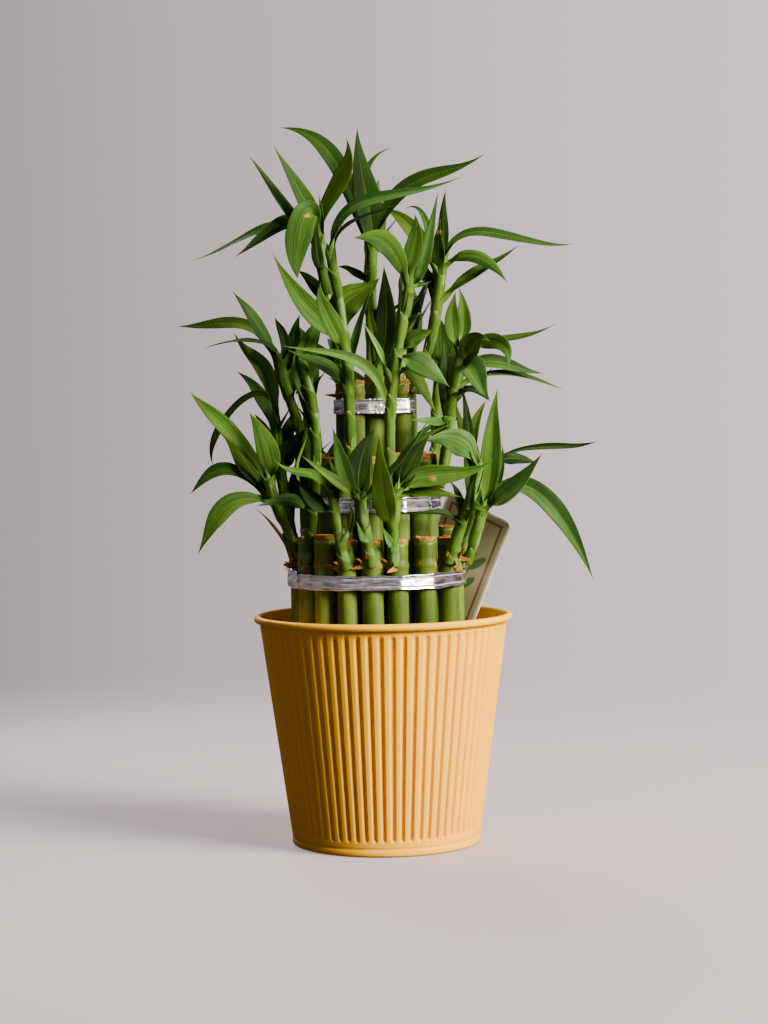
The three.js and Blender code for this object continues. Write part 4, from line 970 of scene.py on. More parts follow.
def add_leaf(skin, stalk, place, leaf, nest, seed, looks, spot):
    """A leaf: its foot is a sheath wrapped round the stalk, an arc that opens over the first tenth
    or more of the blade into a thin lens across from u = -1 to 1. The blade's half width is its
    outline, its lift the fold times |u|, different on the two halves, with waves that grow to the
    edge. One half is painted lighter and the other darker: painted light and shade across the fold."""
    rng = np.random.default_rng(seed)
    stalk_length = stalk.curve.length()
    length = leaf.curve.length()
    low = min(SHEATH_LENGTH * rng.uniform(0.75, 1.25), place * stalk_length)
    below = np.linspace(low, 0, SHEATH_ROWS, endpoint=False)
    t = np.linspace(0, 1, LEAF_ROWS, endpoint=False) ** 0.92
    opening = float(np.clip(OPENING / length, *OPENING_SHARES))
    opened = smooth(0, opening, t)
    path = place - below / stalk_length
    trunk = stalk.curve.along(np.array([place]))[0]
    chord = leaf.curve.at(0.35) - leaf.curve.at(0.0) + 1e-3 * leaf.face
    out = unit(chord - dot(chord, trunk) * trunk)
    around = np.cross(trunk, out)
    centre = np.vstack([stalk.curve.at(path), leaf.curve.at(t)])
    follow = leaf.curve.along(t)
    bend = (0.85 * opened)[:, None]
    ahead = np.vstack([stalk.curve.along(path), unit((1 - bend) * trunk + bend * follow)])
    across = unit(around - dot(ahead, around) * ahead)
    outward = np.cross(across, ahead)
    twist = rng.uniform(-LEAF_TWIST, LEAF_TWIST)
    face, level = leaf.axes(t, twist)
    middle = int(np.searchsorted(t, opening))
    lean = 1.0 if float(dot(level[middle], across[len(below) + middle])[0]) > 0 else -1.0
    across = across * lean
    late = np.concatenate([np.zeros(len(below)), t])
    core = stalk_radius(np.concatenate([path, np.full(len(t), place)]))
    grown = smooth(0, 5, np.concatenate([low - below, np.full(len(t), low)]))
    radius = core - 0.3 + (0.4 + NEST_STEP * nest) * grown + 0.9 * smooth(0, 1.6 * opening, late)
    wide = np.radians(SHEATH_TURN - 95 * smooth(0, opening, late) + 14 * (1 - grown))
    half = leaf.width / 2 * blade_width(t, leaf.belly, *FINE_TIP)
    half = np.maximum(half, LEAST_HALF * (1 - smooth(0, 0.34, t)))
    u = BLADE_STEPS[None, :]
    halves = np.where(u < 0, rng.uniform(0.5, 1.5), rng.uniform(0.5, 1.5))
    fold = LEAF_FOLD * (1 - 0.5 * t)[:, None] * (np.sqrt(u**2 + 0.012) - 0.11) * halves
    channel = 0.5 * (1 - smooth(0, 0.24, t))[:, None] * u**2
    beat = 2 * np.pi * rng.uniform(1.2, 2.8) * t[:, None]
    wave = np.sin(beat + np.sign(u) * rng.uniform(0.5, 2.5) + rng.uniform(0, 6))
    wave = looks.leaf_wave * wave * np.abs(u) ** 1.5 * smooth(0.1, 0.4, t)[:, None]
    lift = half[:, None] * (fold + channel + wave)
    thick = looks.leaf_thickness / MM / 2
    edge = np.sqrt(np.clip(1 - u**2, 0, 1)) * (1 - smooth(0.75, 1, t) * 0.55)[:, None]
    spine = leaf.curve.at(t)

    def side(sign):
        sheath = wrapped(centre, outward, across, radius, wide, sign, lean)
        height = lift + sign * thick * edge
        blade = swept(spine, half[:, None] * u, level, height, face)
        share = opened[:, None, None]
        flat = sheath[len(below) :] * (1 - share) + blade * share
        return np.concatenate([sheath[: len(below)], flat])

    rings = both_faces(side)
    shape = rings.shape[:2]
    along = np.concatenate([-below, t * length])
    grain = stacked(shape, ROUND_STEPS * leaf.width / 2, seed % GRAIN_LANES, along[:, None])
    tone, warm = TONES[leaf.tone]
    foot = (1 - smooth(-6, 0.3 * length, along))[:, None]
    # Painted light and shade: one half of the blade is lighter, the other darker, as if lit and shaded
    # across the fold.
    painted_half_light = rng.uniform(0.03, 0.12) * rng.choice([-1, 1]) * np.tanh(5 * ROUND_STEPS)
    # Painted shade: leaf feet on shoots at the shaded side are darker.
    pale = 0.68 - PAINTED_SHADE_SHOOTS.get(leaf.owner, 0)
    chance = rng.uniform(-TONE_SPREAD, TONE_SPREAD)
    tones = tone + chance + (pale - tone) * 0.85 * foot + painted_half_light * (1 - foot)
    tones = tones + EDGE_TONE * foot * (np.abs(ROUND_STEPS) > 0.9)
    tip = {"tipped": 0.93, "dead": 0.0}.get(leaf.tone, rng.uniform(0.955, 1.05))
    dry = smooth(tip, tip + 0.07, late)[:, None]
    if spot:
        onward = (t - spot[0])[:, None] * length
        beside = (ROUND_STEPS - spot[1]) * half[:, None]
        tan = 1 - smooth(0.8, 2.2, np.hypot(onward, beside))
        dry = np.maximum(dry, np.vstack([np.zeros((len(below), len(ROUND_STEPS))), tan]))
    tint = tinted(shape, tones, warm + (0.5 - warm) * foot, dry)
    skin.tube(rings, grain, tint, 1, start=centre[0] - 0.2 * trunk, end=leaf.curve.at(1.0))


def add_sheath(skin, stalk, place, length, bearing, nest, seed):
    """A bladeless sheath: an arc wrapped round the stalk that closes in to a pointed tongue at
    its top, which stands off a little."""
    rng = np.random.default_rng(seed)
    s = np.concatenate([np.linspace(0, 0.6, 6, endpoint=False), np.linspace(0.6, 1, 8)])
    path = np.clip(place - (1 - s) * length / stalk.curve.length(), 0, 1)
    ahead = stalk.curve.along(path)
    way = direction(bearing, 0)
    out = unit(way - dot(ahead, way) * ahead)
    across = np.cross(ahead, out)
    closing = smooth(0.5, 1, s)
    radius = stalk_radius(path) - 0.3 + (0.5 + NEST_STEP * nest) * smooth(0, 0.4, s) + 0.5 * closing
    wide = np.radians(160 - 148 * closing**1.3)
    centre = stalk.curve.at(path)
    rings = both_faces(lambda sign: wrapped(centre, out, across, radius, wide, sign, 1.0))
    shape = rings.shape[:2]
    grain = stacked(shape, ROUND_STEPS * 5.0, seed % GRAIN_LANES, (s * length)[:, None])
    # Painted shade: sheaths on shoots at the shaded side are darker.
    tone = 0.6 - PAINTED_SHADE_SHOOTS.get(stalk.owner, 0) + rng.uniform(-TONE_SPREAD, TONE_SPREAD)
    tone = tone + 0.05 * closing[:, None] + EDGE_TONE * (np.abs(ROUND_STEPS) > 0.9)
    dry = 0.75 * smooth(0.9, 1, s)[:, None] * (rng.uniform() < 0.4)
    skin.tube(rings, grain, tinted(shape, tone, 0.5, dry), 1)


def add_stalk(skin, stalk, places, seed):
    """The stalk: a slim round stem, hidden but for its foot by sheaths that stand one in another."""
    rng = np.random.default_rng(seed)
    length = stalk.curve.length()
    t = np.linspace(0, 1, max(12, int(length / 3.5)))
    turn = circle(STALK_SIDES)
    shape = (len(t), STALK_SIDES)
    ahead = stalk.curve.along(t)
    across = unit(np.cross([0, -1, 0], ahead))
    up = np.cross(ahead, across)
    ring = stalk_radius(t)[:, None, None] * (
        np.cos(turn)[None, :, None] * across[:, None, :] + np.sin(turn)[None, :, None] * up[:, None, :]
    )
    rings = stalk.curve.at(t)[:, None, :] + ring
    grain = stacked(shape, 3 * np.cos(turn), 3 * np.sin(turn) + seed % 89, (t * length)[:, None])
    tint = tinted(shape, 0.5 + rng.uniform(-TONE_SPREAD, TONE_SPREAD), 0.4)
    skin.tube(rings, grain, tint, 2, end=stalk.curve.at(1.0) + stalk.curve.along(1.0) * 6)
    lowest = min(places, default=1.0) * length
    at = rng.uniform(8, 11)
    bearing = rng.uniform(0, 2 * np.pi)
    index = 0
    while at < length - 1:
        if at < lowest or index % 2:
            tall = rng.uniform(15, 22)
            add_sheath(skin, stalk, at / length, tall, bearing, index % 2, seed + 7 * index)
        at += rng.uniform(10, 17)
        bearing += np.pi + rng.uniform(-0.4, 0.4)
        index += 1


def add_flakes(skin, cane, bearing, height, seed):
    """Papery scraps of old sheath: short curled triangles that stand off the cane in a star."""
    rng = np.random.default_rng(seed)
    for number in range(FLAKES):
        swing = bearing + rng.uniform(-0.75, 0.75)
        rise = rng.uniform(-0.9, 1.2) + (0.4 if number % 2 else -0.4)
        out = direction(swing, 0)
        aside = direction(swing + np.pi / 2, 0)
        middle = np.array([cane["x"], cane["y"], height + rng.uniform(-2, 3)])
        foot = middle + out * (CANE_RADIUS - 0.8)
        reach = rng.uniform(*FLAKE_REACH)
        way = unit(aside * rng.choice([-1, 1]) * 0.7 + np.array([0, 0, rise]) + 0.25 * out)
        s = np.linspace(0, 1, 9)
        spine = foot + s[:, None] * reach * way + (1.5 * s + 1.8 * s**2)[:, None] * out
        broad = unit(np.cross(way, out))
        half = rng.uniform(*FLAKE_HALF) * (1 - s) ** 0.8 + 0.05
        u = np.array([-1, -0.5, 0, 0.5, 1, 0.5, 0, -0.5])
        curl = np.array([1, 0.25, 0, 0.25, 1, 0.25, 0, 0.25]) * rng.uniform(0.2, 0.7)
        thick = np.array([0, 0.14, 0.18, 0.14, 0, -0.14, -0.18, -0.14])
        half = half[:, None]
        rings = swept(spine, half * u, broad[None, :], half * curl + thick, out[None, :])
        if float(np.dot(np.cross(broad, out), way)) > 0:
            rings = rings[:, ::-1]
        skin.tube(rings, rings, tinted(rings.shape[:2], 0.5, 0.5, 0.75 + 0.25 * s[:, None]), 0)


def add_cane(skin, name, cane, seed, shoots):
    """The cane: a round culm with a swollen ring, a hair out of round, its top cut and dished,
    the cut edge and parts of the rings dried to thin cork."""
    rng = np.random.default_rng(seed)
    top, node = cane["top"], cane["node"]
    lower = node - rng.uniform(*RING_GAP)
    z = np.concatenate([
        [CANE_FOOT_Z, 80],
        np.linspace(SOIL_TOP - 2, node - 5, 18, endpoint=False),
        np.linspace(node - 5, node + 5, 18, endpoint=False),
        np.linspace(node + 5, top - 0.9, max(6, int((top - node - 5) / 0.9))),
    ])
    swell = 0.4 * bell(z - node, 2) - 0.2 * bell(z - node - 3.2, 1.6)
    swell += 0.3 * bell(z - lower, 1.8) - 0.12 * bell(z - lower - 3, 1.5)
    skin_radius = CANE_RADIUS - 0.1
    cut = [skin_radius, CANE_RADIUS - 0.45, CANE_RADIUS - 1.2, 3.6, 1.4]
    radius = np.concatenate([skin_radius + swell, cut])
    z = np.concatenate([z, [top - 0.35, top, top - 0.15, top - 0.55, top - 0.6]])
    turn = circle(CANE_SIDES)
    shape = (len(z), CANE_SIDES)
    rings = stacked(shape, radius[:, None] * np.cos(turn), radius[:, None] * np.sin(turn), z[:, None])
    rings[..., :2] *= (1 + 0.014 * ripple(rings * [1, 1, 0.3], 9, seed))[..., None]
    lip = smooth(top - 3, top, z)[:, None]
    rings[..., 2] += 0.4 * lip * ripple(rings * [1, 1, 0], 5, seed + 1)
    ragged = 0.9 * ripple(rings * [1, 1, 0.1], 3.4, seed + 2)
    z = z[:, None]
    depth = rng.uniform(*DRY_DEPTH)
    dry = smooth(top - depth - 0.5, top - depth + 0.3, z + ragged)
    patch = smooth(0.1, 0.5, ripple(rings * [1, 1, 0], 9, seed + 3))
    at_node = z - node + 1.4 * ripple(rings * [1, 1, 0], 6, seed + 4)
    line, lower_line = 0.35 * bell(z - node + 0.4, 0.35), 0.4 * bell(z - lower, 0.4)
    for ring in (patch * bell(at_node, 1.5), line, lower_line):
        dry = np.maximum(dry, ring)
    under = bell(z + ragged - top + depth + 1.3, 0.45)
    # Painted light and shade: lighter on canes at the shaded left, darker on canes that others shade.
    tone = 0.45 + CANE_PAINTED_LIGHT_AND_SHADE.get(name, 0) + 0.12 * rng.uniform(-1, 1)
    tone = tone + 0.1 * bell(z - node + 8, 10) + 0.6 * under
    middle = np.array([cane["x"], cane["y"], 0])
    tint = tinted(shape, tone, 0.5, dry)
    start, end = middle + [0, 0, CANE_FOOT_Z], middle + [0, 0, top - 0.6]
    skin.tube(rings + middle, rings + [seed * 3.1, 0, 0], tint, 0, start, end)
    for stalk, _ in shoots:
        aim = stalk.curve.at(0.25) - stalk.curve.at(0.0)
        add_flakes(skin, cane, math.atan2(aim[0], -aim[1]), stalk.curve.at(0.0)[2], seed + 9)


def wall_radius(z):
    """The pot's straight wall."""
    rise = (z - WALL_FOOT_Z) / (WALL_TOP_Z - WALL_FOOT_Z)
    return WALL_FOOT_RADIUS + (WALL_TOP_RADIUS - WALL_FOOT_RADIUS) * rise


def groove(turn, z, sizes):
    """Depth of the grooves between the ribs, 0 to 1: by the distance from the middle line of the
    groove, which is round at both ends."""
    share = (turn * sizes.rib_count / (2 * np.pi)) % 1
    pitch = 2 * np.pi * wall_radius(z) / sizes.rib_count
    aside = (share - GROOVE_MIDDLE) * pitch
    low, high = RIB_LOW_Z + 3, RIB_HIGH_Z + 1.2
    beyond = np.maximum(np.maximum(low - z, z - high), 0)
    far = np.hypot(aside, beyond)
    return 1 - smooth(GROOVE_FLOOR * pitch, GROOVE_SIDE * pitch, far)


def build_pot(sizes, material):
    """A turned shell: each row of the profile is a ring, pressed in at the grooves."""
    skin = Skin()
    columns = sizes.rib_count * STEPS_A_RIB
    turn = 2 * np.pi * np.arange(columns) / columns
    bead_radius = RIM_RADIUS - RIM_BEAD
    bead_z = POT_HEIGHT - RIM_BEAD
    rows = [(radius, z, 0) for radius, z in POT_FOOT]
    outside = [(5.2, 15, 12), (15, 112, 14), (112, 126.5, 18)]
    inside = [(126, 104, 18), (104, 8, 6)]
    for low, high, count in outside:
        steps = np.linspace(low, high, count, endpoint=high == outside[-1][1])
        rows += [(wall_radius(z), z, 1) for z in steps]
    around = np.radians(np.linspace(-125, 190, 16))
    rows += [(bead_radius + RIM_BEAD * math.cos(a), bead_z + RIM_BEAD * math.sin(a), 0) for a in around]
    for high, low, count in inside:
        steps = np.linspace(high, low, count, endpoint=low == inside[-1][1])
        rows += [(wall_radius(z) - SHEET, z, 1) for z in steps]
    rows += [(wall_radius(5) - SHEET - 4, 3.2, 0), (30, 2.4, 0)]
    radius, z, ribbed = (np.array(column)[:, None] for column in zip(*rows))
    pressed = groove(turn[None, :], z, sizes) * ribbed
    across = radius - sizes.rib_depth / MM * pressed
    rings = stacked(across.shape, across * np.cos(turn), across * np.sin(turn), z)
    tint = tinted(across.shape, pressed)
    skin.tube(rings, rings, tint, 0, start=np.array([0, 0, 0.0]), end=np.array([0, 0, 2.3]))
    skin.piece("pot_shell", [material], "pot", ["pot"])


def build_soil(material):
    """Soil as a heaped disc on a plug, roughened by three sizes of ripple, with loose crumbs."""
    skin = Skin()
    side = wall_radius(SOIL_TOP) - 3.3
    level = SOIL_TOP + 0.9
    radius = np.concatenate([[48, 53, 60, side - 0.6], np.linspace(side, 1.2, SOIL_ROWS)])[:, None]
    z = np.concatenate([[4, 6, 60, SOIL_TOP - 6], np.full(SOIL_ROWS, level)])[:, None]
    turn = circle(SOIL_SIDES)
    rings = stacked((len(z), SOIL_SIDES), radius * np.cos(turn), radius * np.sin(turn), z)
    top = np.concatenate([np.zeros((4, 1)), smooth(side, side - 4, radius[4:])])
    rough = 0.9 * ripple(rings, 14, 1) + 0.7 * ripple(rings, 5, 2) + 0.5 * np.abs(ripple(rings, 2.4, 3))
    rings[..., 2] += top * rough - (1 - top) * np.where(z > 100, 1.2, 0)
    skin.tube(rings, rings, tinted(rings.shape[:2]), 0, end=np.array([0, 0, level]))
    rng = np.random.default_rng(5)
    turns = circle(CRUMB_SIDES)
    bars = np.array([-0.6, 0.1, 0.7])[:, None]
    ring = np.sqrt(1 - bars**2)
    shape = (len(bars), CRUMB_SIDES)
    for _ in range(CRUMBS):
        away = CRUMBS_REACH * math.sqrt(rng.uniform(0.05, 1))
        bearing = rng.uniform(0, 2 * np.pi)
        size = rng.uniform(0.7, 2.1)
        middle = np.array([away * math.cos(bearing), away * math.sin(bearing), SOIL_TOP + 1.4])
        lump = stacked(shape, ring * np.cos(turns), ring * np.sin(turns), bars)
        lump = lump * (size * rng.uniform(0.6, 1.2, 3)) * (1 + 0.3 * rng.uniform(-1, 1, (*shape, 1)))
        skin.tube(lump + middle, lump + middle, tinted(shape, rng.uniform(0, 1)))
    skin.piece("soil_bed", [material], "soil", ["soil"])


def build_tie(name, node, ring, middle, seed, tail, material):
    """A foil band: its cross-section, a flat bag with a bead at each edge, goes round the hull of
    the canes. Its outer side is three strips that lean back a little, with a level fold between
    each two; crinkles are ripples and sharp ridges pressed into it. A tail laps over it."""
    skin = Skin()
    heights = np.concatenate([
        np.linspace(-1, -0.66, 4), np.linspace(-0.58, -0.34, 4), np.linspace(-0.14, 0.26, 3),
        np.linspace(0.44, 0.68, 4), np.linspace(0.76, 1, 4),
    ])
    rows = len(heights)
    v = np.concatenate([heights, heights[::-1]])
    outside = np.concatenate([np.ones(rows), np.zeros(rows)])
    lean = np.interp(v, LEAN_AT, LEAN)
    folds = sum(bell(v - fold, FOLD_WIDTH) for fold in FOLDS)

    def band(line, ahead, even, lift, inner, outer, closed):
        """The band along a level line, lifted by lift, its two sides inner and outer off it."""
        out = np.stack([ahead[:, 1], -ahead[:, 0]], axis=1)
        reach = inner + (outer - inner) * outside
        rings = np.empty((len(line), 2 * rows, 3))
        rings[..., :2] = line[:, None, :] + out[:, None, :] * reach[None, :, None]
        rings[..., 2] = middle + lift + v * TIE_HEIGHT / 2
        shape = rings.shape[:2]
        flat = stacked(shape, even[:, None], 0.0, rings[..., 2])
        level = ripple(flat * [1, 1, 0], 30, seed)
        rings[..., 2] += 0.5 * (1 - v**2) * level
        loose = smooth(0.2, 0.8, ripple(flat * [1, 1, 0], 42, seed + 4))
        crinkle = 0.11 * loose * np.abs(ripple(flat * [1, 1, 1.4], 4.5, seed + 1))
        crinkle = lean * (1 + 0.3 * level) + 0.06 * ripple(flat * [0.3, 1, 0.5], 10, seed + 3) - crinkle
        press = (crinkle + 0.18 * (np.abs(v) > 0.8)) * outside
        rings[..., :2] += out[:, None, :] * press[..., None]
        rings[..., 2] += 0.3 * v * ripple(flat * [1, 1, 0], 11, seed + 2)
        # The level folds on the outer side carry a painted highlight: white in the foil's colour.
        tint = tinted(shape, folds * outside, loose)
        skin.tube(rings[:, ::-1], flat[:, ::-1], tint[:, ::-1], 0, loop=closed)

    hull = hull_points(ring, circle(HULL_TURNS), CANE_RADIUS + TIE_GAP)
    hull = np.vstack([hull, hull[:1]])
    even = np.linspace(0, distances(hull)[-1], TIE_COLUMNS, endpoint=False)
    line = spaced(hull, even)
    ahead = unit(np.roll(line, -1, axis=0) - np.roll(line, 1, axis=0))
    band(line, ahead, even, 0.0, 0.0, TIE_SHEET, True)
    low, high, lift = tail
    hull = hull_points(ring, np.radians(np.linspace(low, high, TAIL_TURNS)), CANE_RADIUS + TIE_GAP)
    even = np.arange(0, distances(hull)[-1], TAIL_STEP)
    line = spaced(hull, even)
    band(line, unit(np.gradient(line, axis=0)), even, lift, TIE_SHEET * 0.75, TIE_SHEET * 1.6, False)
    skin.piece(name, [material], "foil", [node])


def build_card(material):
    """A thin card: its outline's half width is full but for the round top corners, swept down its
    length; the print is a mask worked out at each point."""
    skin = Skin()
    half = CARD_WIDTH / 2
    corner = CARD_CORNER * (1 - np.cos(np.linspace(0, np.pi / 2, 9)))
    down = np.concatenate([corner, np.linspace(CARD_CORNER + 0.6, CARD_LENGTH, 190)])
    round_off = np.sqrt(np.clip(CARD_CORNER**2 - (CARD_CORNER - down) ** 2, 0, None))
    inset = np.where(down < CARD_CORNER, CARD_CORNER - round_off, 0)
    across = np.linspace(-1, 1, CARD_COLUMNS)
    front = np.concatenate([np.ones(CARD_COLUMNS), np.zeros(CARD_COLUMNS)])
    x = (half - inset)[:, None] * np.concatenate([across, across[::-1]])
    y = np.broadcast_to(-down[:, None], x.shape)
    flat = stacked(x.shape, x, y, CARD_SHEET * (front - 0.5))
    edge = 1 - smooth(half - 1.7, half - 1.2, np.abs(x))
    edge = np.minimum(edge, smooth(1.2, 1.7, -y))

    def stem(height):
        return 3 + 6 * np.sin((height + 60) / 30)

    sprig = 1 - smooth(0.5, 0.8, np.abs(x - stem(y)) + 50 * (np.abs(y + 52) > 26))
    for k in range(SPRIG_LEAVES):
        centre_y = -SPRIG_TOP - SPRIG_STEP * k
        lean = (1 if k % 2 else -1) * math.radians(SPRIG_LEAN)
        dx, dy = x - stem(centre_y), y - centre_y
        along = dx * math.sin(lean) + dy * math.cos(lean) - SPRIG_OVAL[0]
        aside = dx * math.cos(lean) - dy * math.sin(lean)
        oval = (along / SPRIG_OVAL[0]) ** 2 + (aside / SPRIG_OVAL[1]) ** 2
        sprig = np.maximum(sprig, 1 - smooth(0.8, 1.15, oval))
    inner = np.minimum(half - np.abs(x), -y)
    band = smooth(*BAND[:2], inner) * (1 - smooth(*BAND[2:], inner))
    tint = tinted(x.shape, sprig * front, band * front, 1 - edge)
    rings = moved(flat.reshape(-1, 3), card_matrix()).reshape(flat.shape)
    skin.tube(rings[:, ::-1], flat[:, ::-1], tint[:, ::-1])
    skin.piece("printed_card", [material], "card", ["care_card"], smooth_shade=False)


# Materials.

# How far red, green and blue light goes inside a green leaf or stem, as shares of the scale.
GREEN_DEPTHS = (0.5, 1.0, 0.1)

# Colours by a factor: places and hex colours, the two outer ones first.
COOL_GREEN = [(0.0, "#101e0b"), (1.0, "#869f6b"), (0.35, "#223e15"), (0.65, "#42652a")]
YELLOW_GREEN = [(0.0, "#1a2508"), (1.0, "#9ba853"), (0.35, "#35490f"), (0.65, "#5d751d")]
DRY_BROWN = [(0.3, "#7d5a1c"), (0.7, "#cba64e")]
STALK_GREEN = [(0.0, "#1c320c"), (1.0, "#7d9846"), (0.4, "#395c1a"), (0.7, "#597b2a")]
CANE_GREEN = [(0.0, "#1f2b0a"), (1.0, "#919c49"), (0.4, "#44580f"), (0.7, "#6b7c2a")]
CORK = [(0.25, "#4c2a0b"), (0.75, "#c89a4e"), (0.5, "#8f5c1c")]
SOIL_BROWN = [(0.25, "#140d09"), (0.85, "#7b6248"), (0.55, "#35261b")]
# The foil's taut colour: a darker, brownish painted reflection.
FOIL_PAINTED_REFLECTION = [(0.4, "#a8948e"), (0.62, "#ece6e8")]
FOIL_BRIGHT = [(0.35, "#7f7b81"), (0.65, "#f4f2f6")]
CARD_SAGE = [(0.2, "#9a926c"), (0.8, "#aca280")]

# Kinds of node that are used often.
ATTRIBUTE = "ShaderNodeAttribute"
NOISE = "ShaderNodeTexNoise"
MATH = "ShaderNodeMath"
RAMP = "ShaderNodeValToRGB"
MIX = "ShaderNodeMix"
BLEND = "ShaderNodeMixShader"


def linear(code):
    """An sRGB hex colour as linear light, opaque."""
    parts = [int(code[k : k + 2], 16) / 255 for k in (1, 3, 5)]
    light = [p / 12.92 if p <= 0.04045 else ((p + 0.055) / 1.055) ** 2.4 for p in parts]
    return (*light, 1.0)


def add_node(tree, kind, inputs=None, stops=(), **settings):
    """Adds a node with its settings and colour stops, and feeds its inputs: each from another
    node's socket, or by a constant or a hex colour. Stops are (place, hex colour)."""
    node = tree.nodes.new(kind)
    for key, value in settings.items():
        setattr(node, key, value)
    for key, value in (inputs or {}).items():
        if isinstance(value, bpy.types.NodeSocket):
            tree.links.new(value, node.inputs[key])
        else:
            node.inputs[key].default_value = linear(value) if isinstance(value, str) else value
    for index, (place, code) in enumerate(stops):
        elements = node.color_ramp.elements
        element = elements[index] if index < 2 else elements.new(place)
        element.position = place
        element.color = linear(code)
    return node


def new_material(name, values):
    """A material with a surface shader of those values; returns the material, tree and shader."""
    material = bpy.data.materials.new(name)
    material.use_nodes = True
    tree = material.node_tree
    tree.nodes.clear()
    shader = add_node(tree, "ShaderNodeBsdfPrincipled", values)
    add_node(tree, "ShaderNodeOutputMaterial", {"Surface": shader.outputs["BSDF"]})
    return material, tree, shader


def varied(tree, tone, *patterns):
    """The tone plus each pattern times its strength plus its shift, held within 0 to 1."""
    for number, (pattern, strength, shift) in enumerate(patterns):
        inputs = {0: pattern, 1: strength, 2: shift}
        part = add_node(tree, MATH, inputs, operation="MULTIPLY_ADD").outputs[0]
        last = number == len(patterns) - 1
        tone = add_node(tree, MATH, {0: tone, 1: part}, operation="ADD", use_clamp=last).outputs[0]
    return tone


def layered(tree, colour, *coats):
    """A colour with coats over it, each laid on by its mask."""
    for mask, coat in coats:
        colour = add_node(tree, MIX, {0: mask, 6: colour, 7: coat}, data_type="RGBA").outputs[2]
    return colour


def grained(tree, scale, size, detail):
    """Noise on the piece's own grain coordinates in mm, stretched by scale."""
    grain = add_node(tree, ATTRIBUTE, attribute_name="grain").outputs["Vector"]
    place = add_node(tree, "ShaderNodeMapping", {"Vector": grain, "Scale": scale}).outputs["Vector"]
    inputs = {"Vector": place, "Scale": size, "Detail": detail, "Roughness": 0.55}
    return add_node(tree, NOISE, inputs).outputs["Fac"]


def tint_parts(tree):
    """The red, green and blue of the piece's tint."""
    tint = add_node(tree, ATTRIBUTE, attribute_name="tint").outputs["Color"]
    return add_node(tree, "ShaderNodeSeparateColor", {"Color": tint}).outputs[:3]


def finished(tree, shader, height, strength, distance, sockets):
    """Feeds the shader's sockets, and bumps it by a height that is distance metres where it is 1."""
    inputs = {"Height": height, "Strength": strength, "Distance": distance}
    bump = add_node(tree, "ShaderNodeBump", inputs)
    for key, value in {**sockets, "Normal": bump.outputs["Normal"]}.items():
        tree.links.new(value, shader.inputs[key])


def leaf_material():
    """Waxy leaf: fine veins along the blade, a faint paler midrib, hardly any gloss, some light
    through it."""
    material, tree, shader = new_material("waxy_leaf", {
        "Roughness": 0.5,
        "IOR": 1.45,
        "Specular IOR Level": 0.04,
        "Subsurface Weight": 0.12,
        "Subsurface Scale": 0.0009,
        "Subsurface Radius": GREEN_DEPTHS,
    })
    tone, warm, dry = tint_parts(tree)
    veins = grained(tree, (3.2, 1, 0.035), 1.0, 2.0)
    streaks = grained(tree, (0.9, 1, 0.02), 1.0, 1.0)
    cloud = grained(tree, (0.1, 1, 0.05), 1.0, 2.0)
    shade = varied(tree, tone, (veins, 0.3, -0.15), (streaks, 0.5, -0.25), (cloud, 0.3, -0.15))
    cool, yellow, brown = (
        add_node(tree, RAMP, {"Fac": factor}, stops).outputs["Color"]
        for factor, stops in ((shade, COOL_GREEN), (shade, YELLOW_GREEN), (cloud, DRY_BROWN))
    )
    grain = add_node(tree, ATTRIBUTE, attribute_name="grain").outputs["Vector"]
    aside = add_node(tree, "ShaderNodeSeparateXYZ", {"Vector": grain}).outputs["X"]
    aside = add_node(tree, MATH, {0: aside}, operation="ABSOLUTE").outputs[0]
    inputs = {0: aside, 1: -3.0, 2: 1.0}
    rib = add_node(tree, MATH, inputs, operation="MULTIPLY_ADD", use_clamp=True).outputs[0]
    rib = add_node(tree, MATH, {0: rib, 1: 0.16}, operation="MULTIPLY").outputs[0]
    colour = layered(tree, cool, (warm, yellow), (rib, "#8aa84a"), (dry, brown))
    finished(tree, shader, veins, 0.3, 0.0003, {"Base Color": colour})
    return material


def stalk_material():
    """Fleshy stem: pale streaked green, smooth, with lines along it."""
    material, tree, shader = new_material("leaf_sheath", {
        "Roughness": 0.42,
        "IOR": 1.45,
        "Subsurface Weight": 0.1,
        "Subsurface Scale": 0.002,
        "Subsurface Radius": GREEN_DEPTHS,
    })
    tone, _, _ = tint_parts(tree)
    lines = grained(tree, (1.6, 1.6, 0.05), 1.0, 2.0)
    shade = varied(tree, tone, (lines, 0.5, -0.25))
    colour = add_node(tree, RAMP, {"Fac": shade}, STALK_GREEN).outputs["Color"]
    finished(tree, shader, lines, 0.3, 0.0003, {"Base Color": colour})
    return material


def cane_material():
    """Cane skin: faintly glossy green, streaked along, with dry tan cork at cuts and rings."""
    material, tree, shader = new_material("cane_skin", {"IOR": 1.45, "Specular IOR Level": 0.22})
    tone, _, dry = tint_parts(tree)
    lines = grained(tree, (1.1, 1.1, 0.06), 1.0, 3.0)
    cloud = grained(tree, (0.12, 0.12, 0.05), 1.0, 2.0)
    crumbs = grained(tree, (1, 1, 1), 0.9, 4.0)
    shade = varied(tree, tone, (lines, 0.35, -0.17), (cloud, 0.6, -0.3))
    green = add_node(tree, RAMP, {"Fac": shade}, CANE_GREEN).outputs["Color"]
    cork = add_node(tree, RAMP, {"Fac": crumbs}, CORK).outputs["Color"]
    inputs = {0: dry, 1: 0.35, 2: 0.52}
    rough = add_node(tree, MATH, inputs, operation="MULTIPLY_ADD").outputs[0]
    corky = add_node(tree, MATH, {0: crumbs, 1: dry}, operation="MULTIPLY").outputs[0]
    streaky = add_node(tree, MATH, {0: lines, 1: 0.25}, operation="MULTIPLY").outputs[0]
    height = add_node(tree, MATH, {0: corky, 1: streaky}, operation="ADD").outputs[0]
    sockets = {"Base Color": layered(tree, green, (dry, cork)), "Roughness": rough}
    finished(tree, shader, height, 0.6, 0.0005, sockets)
    return material


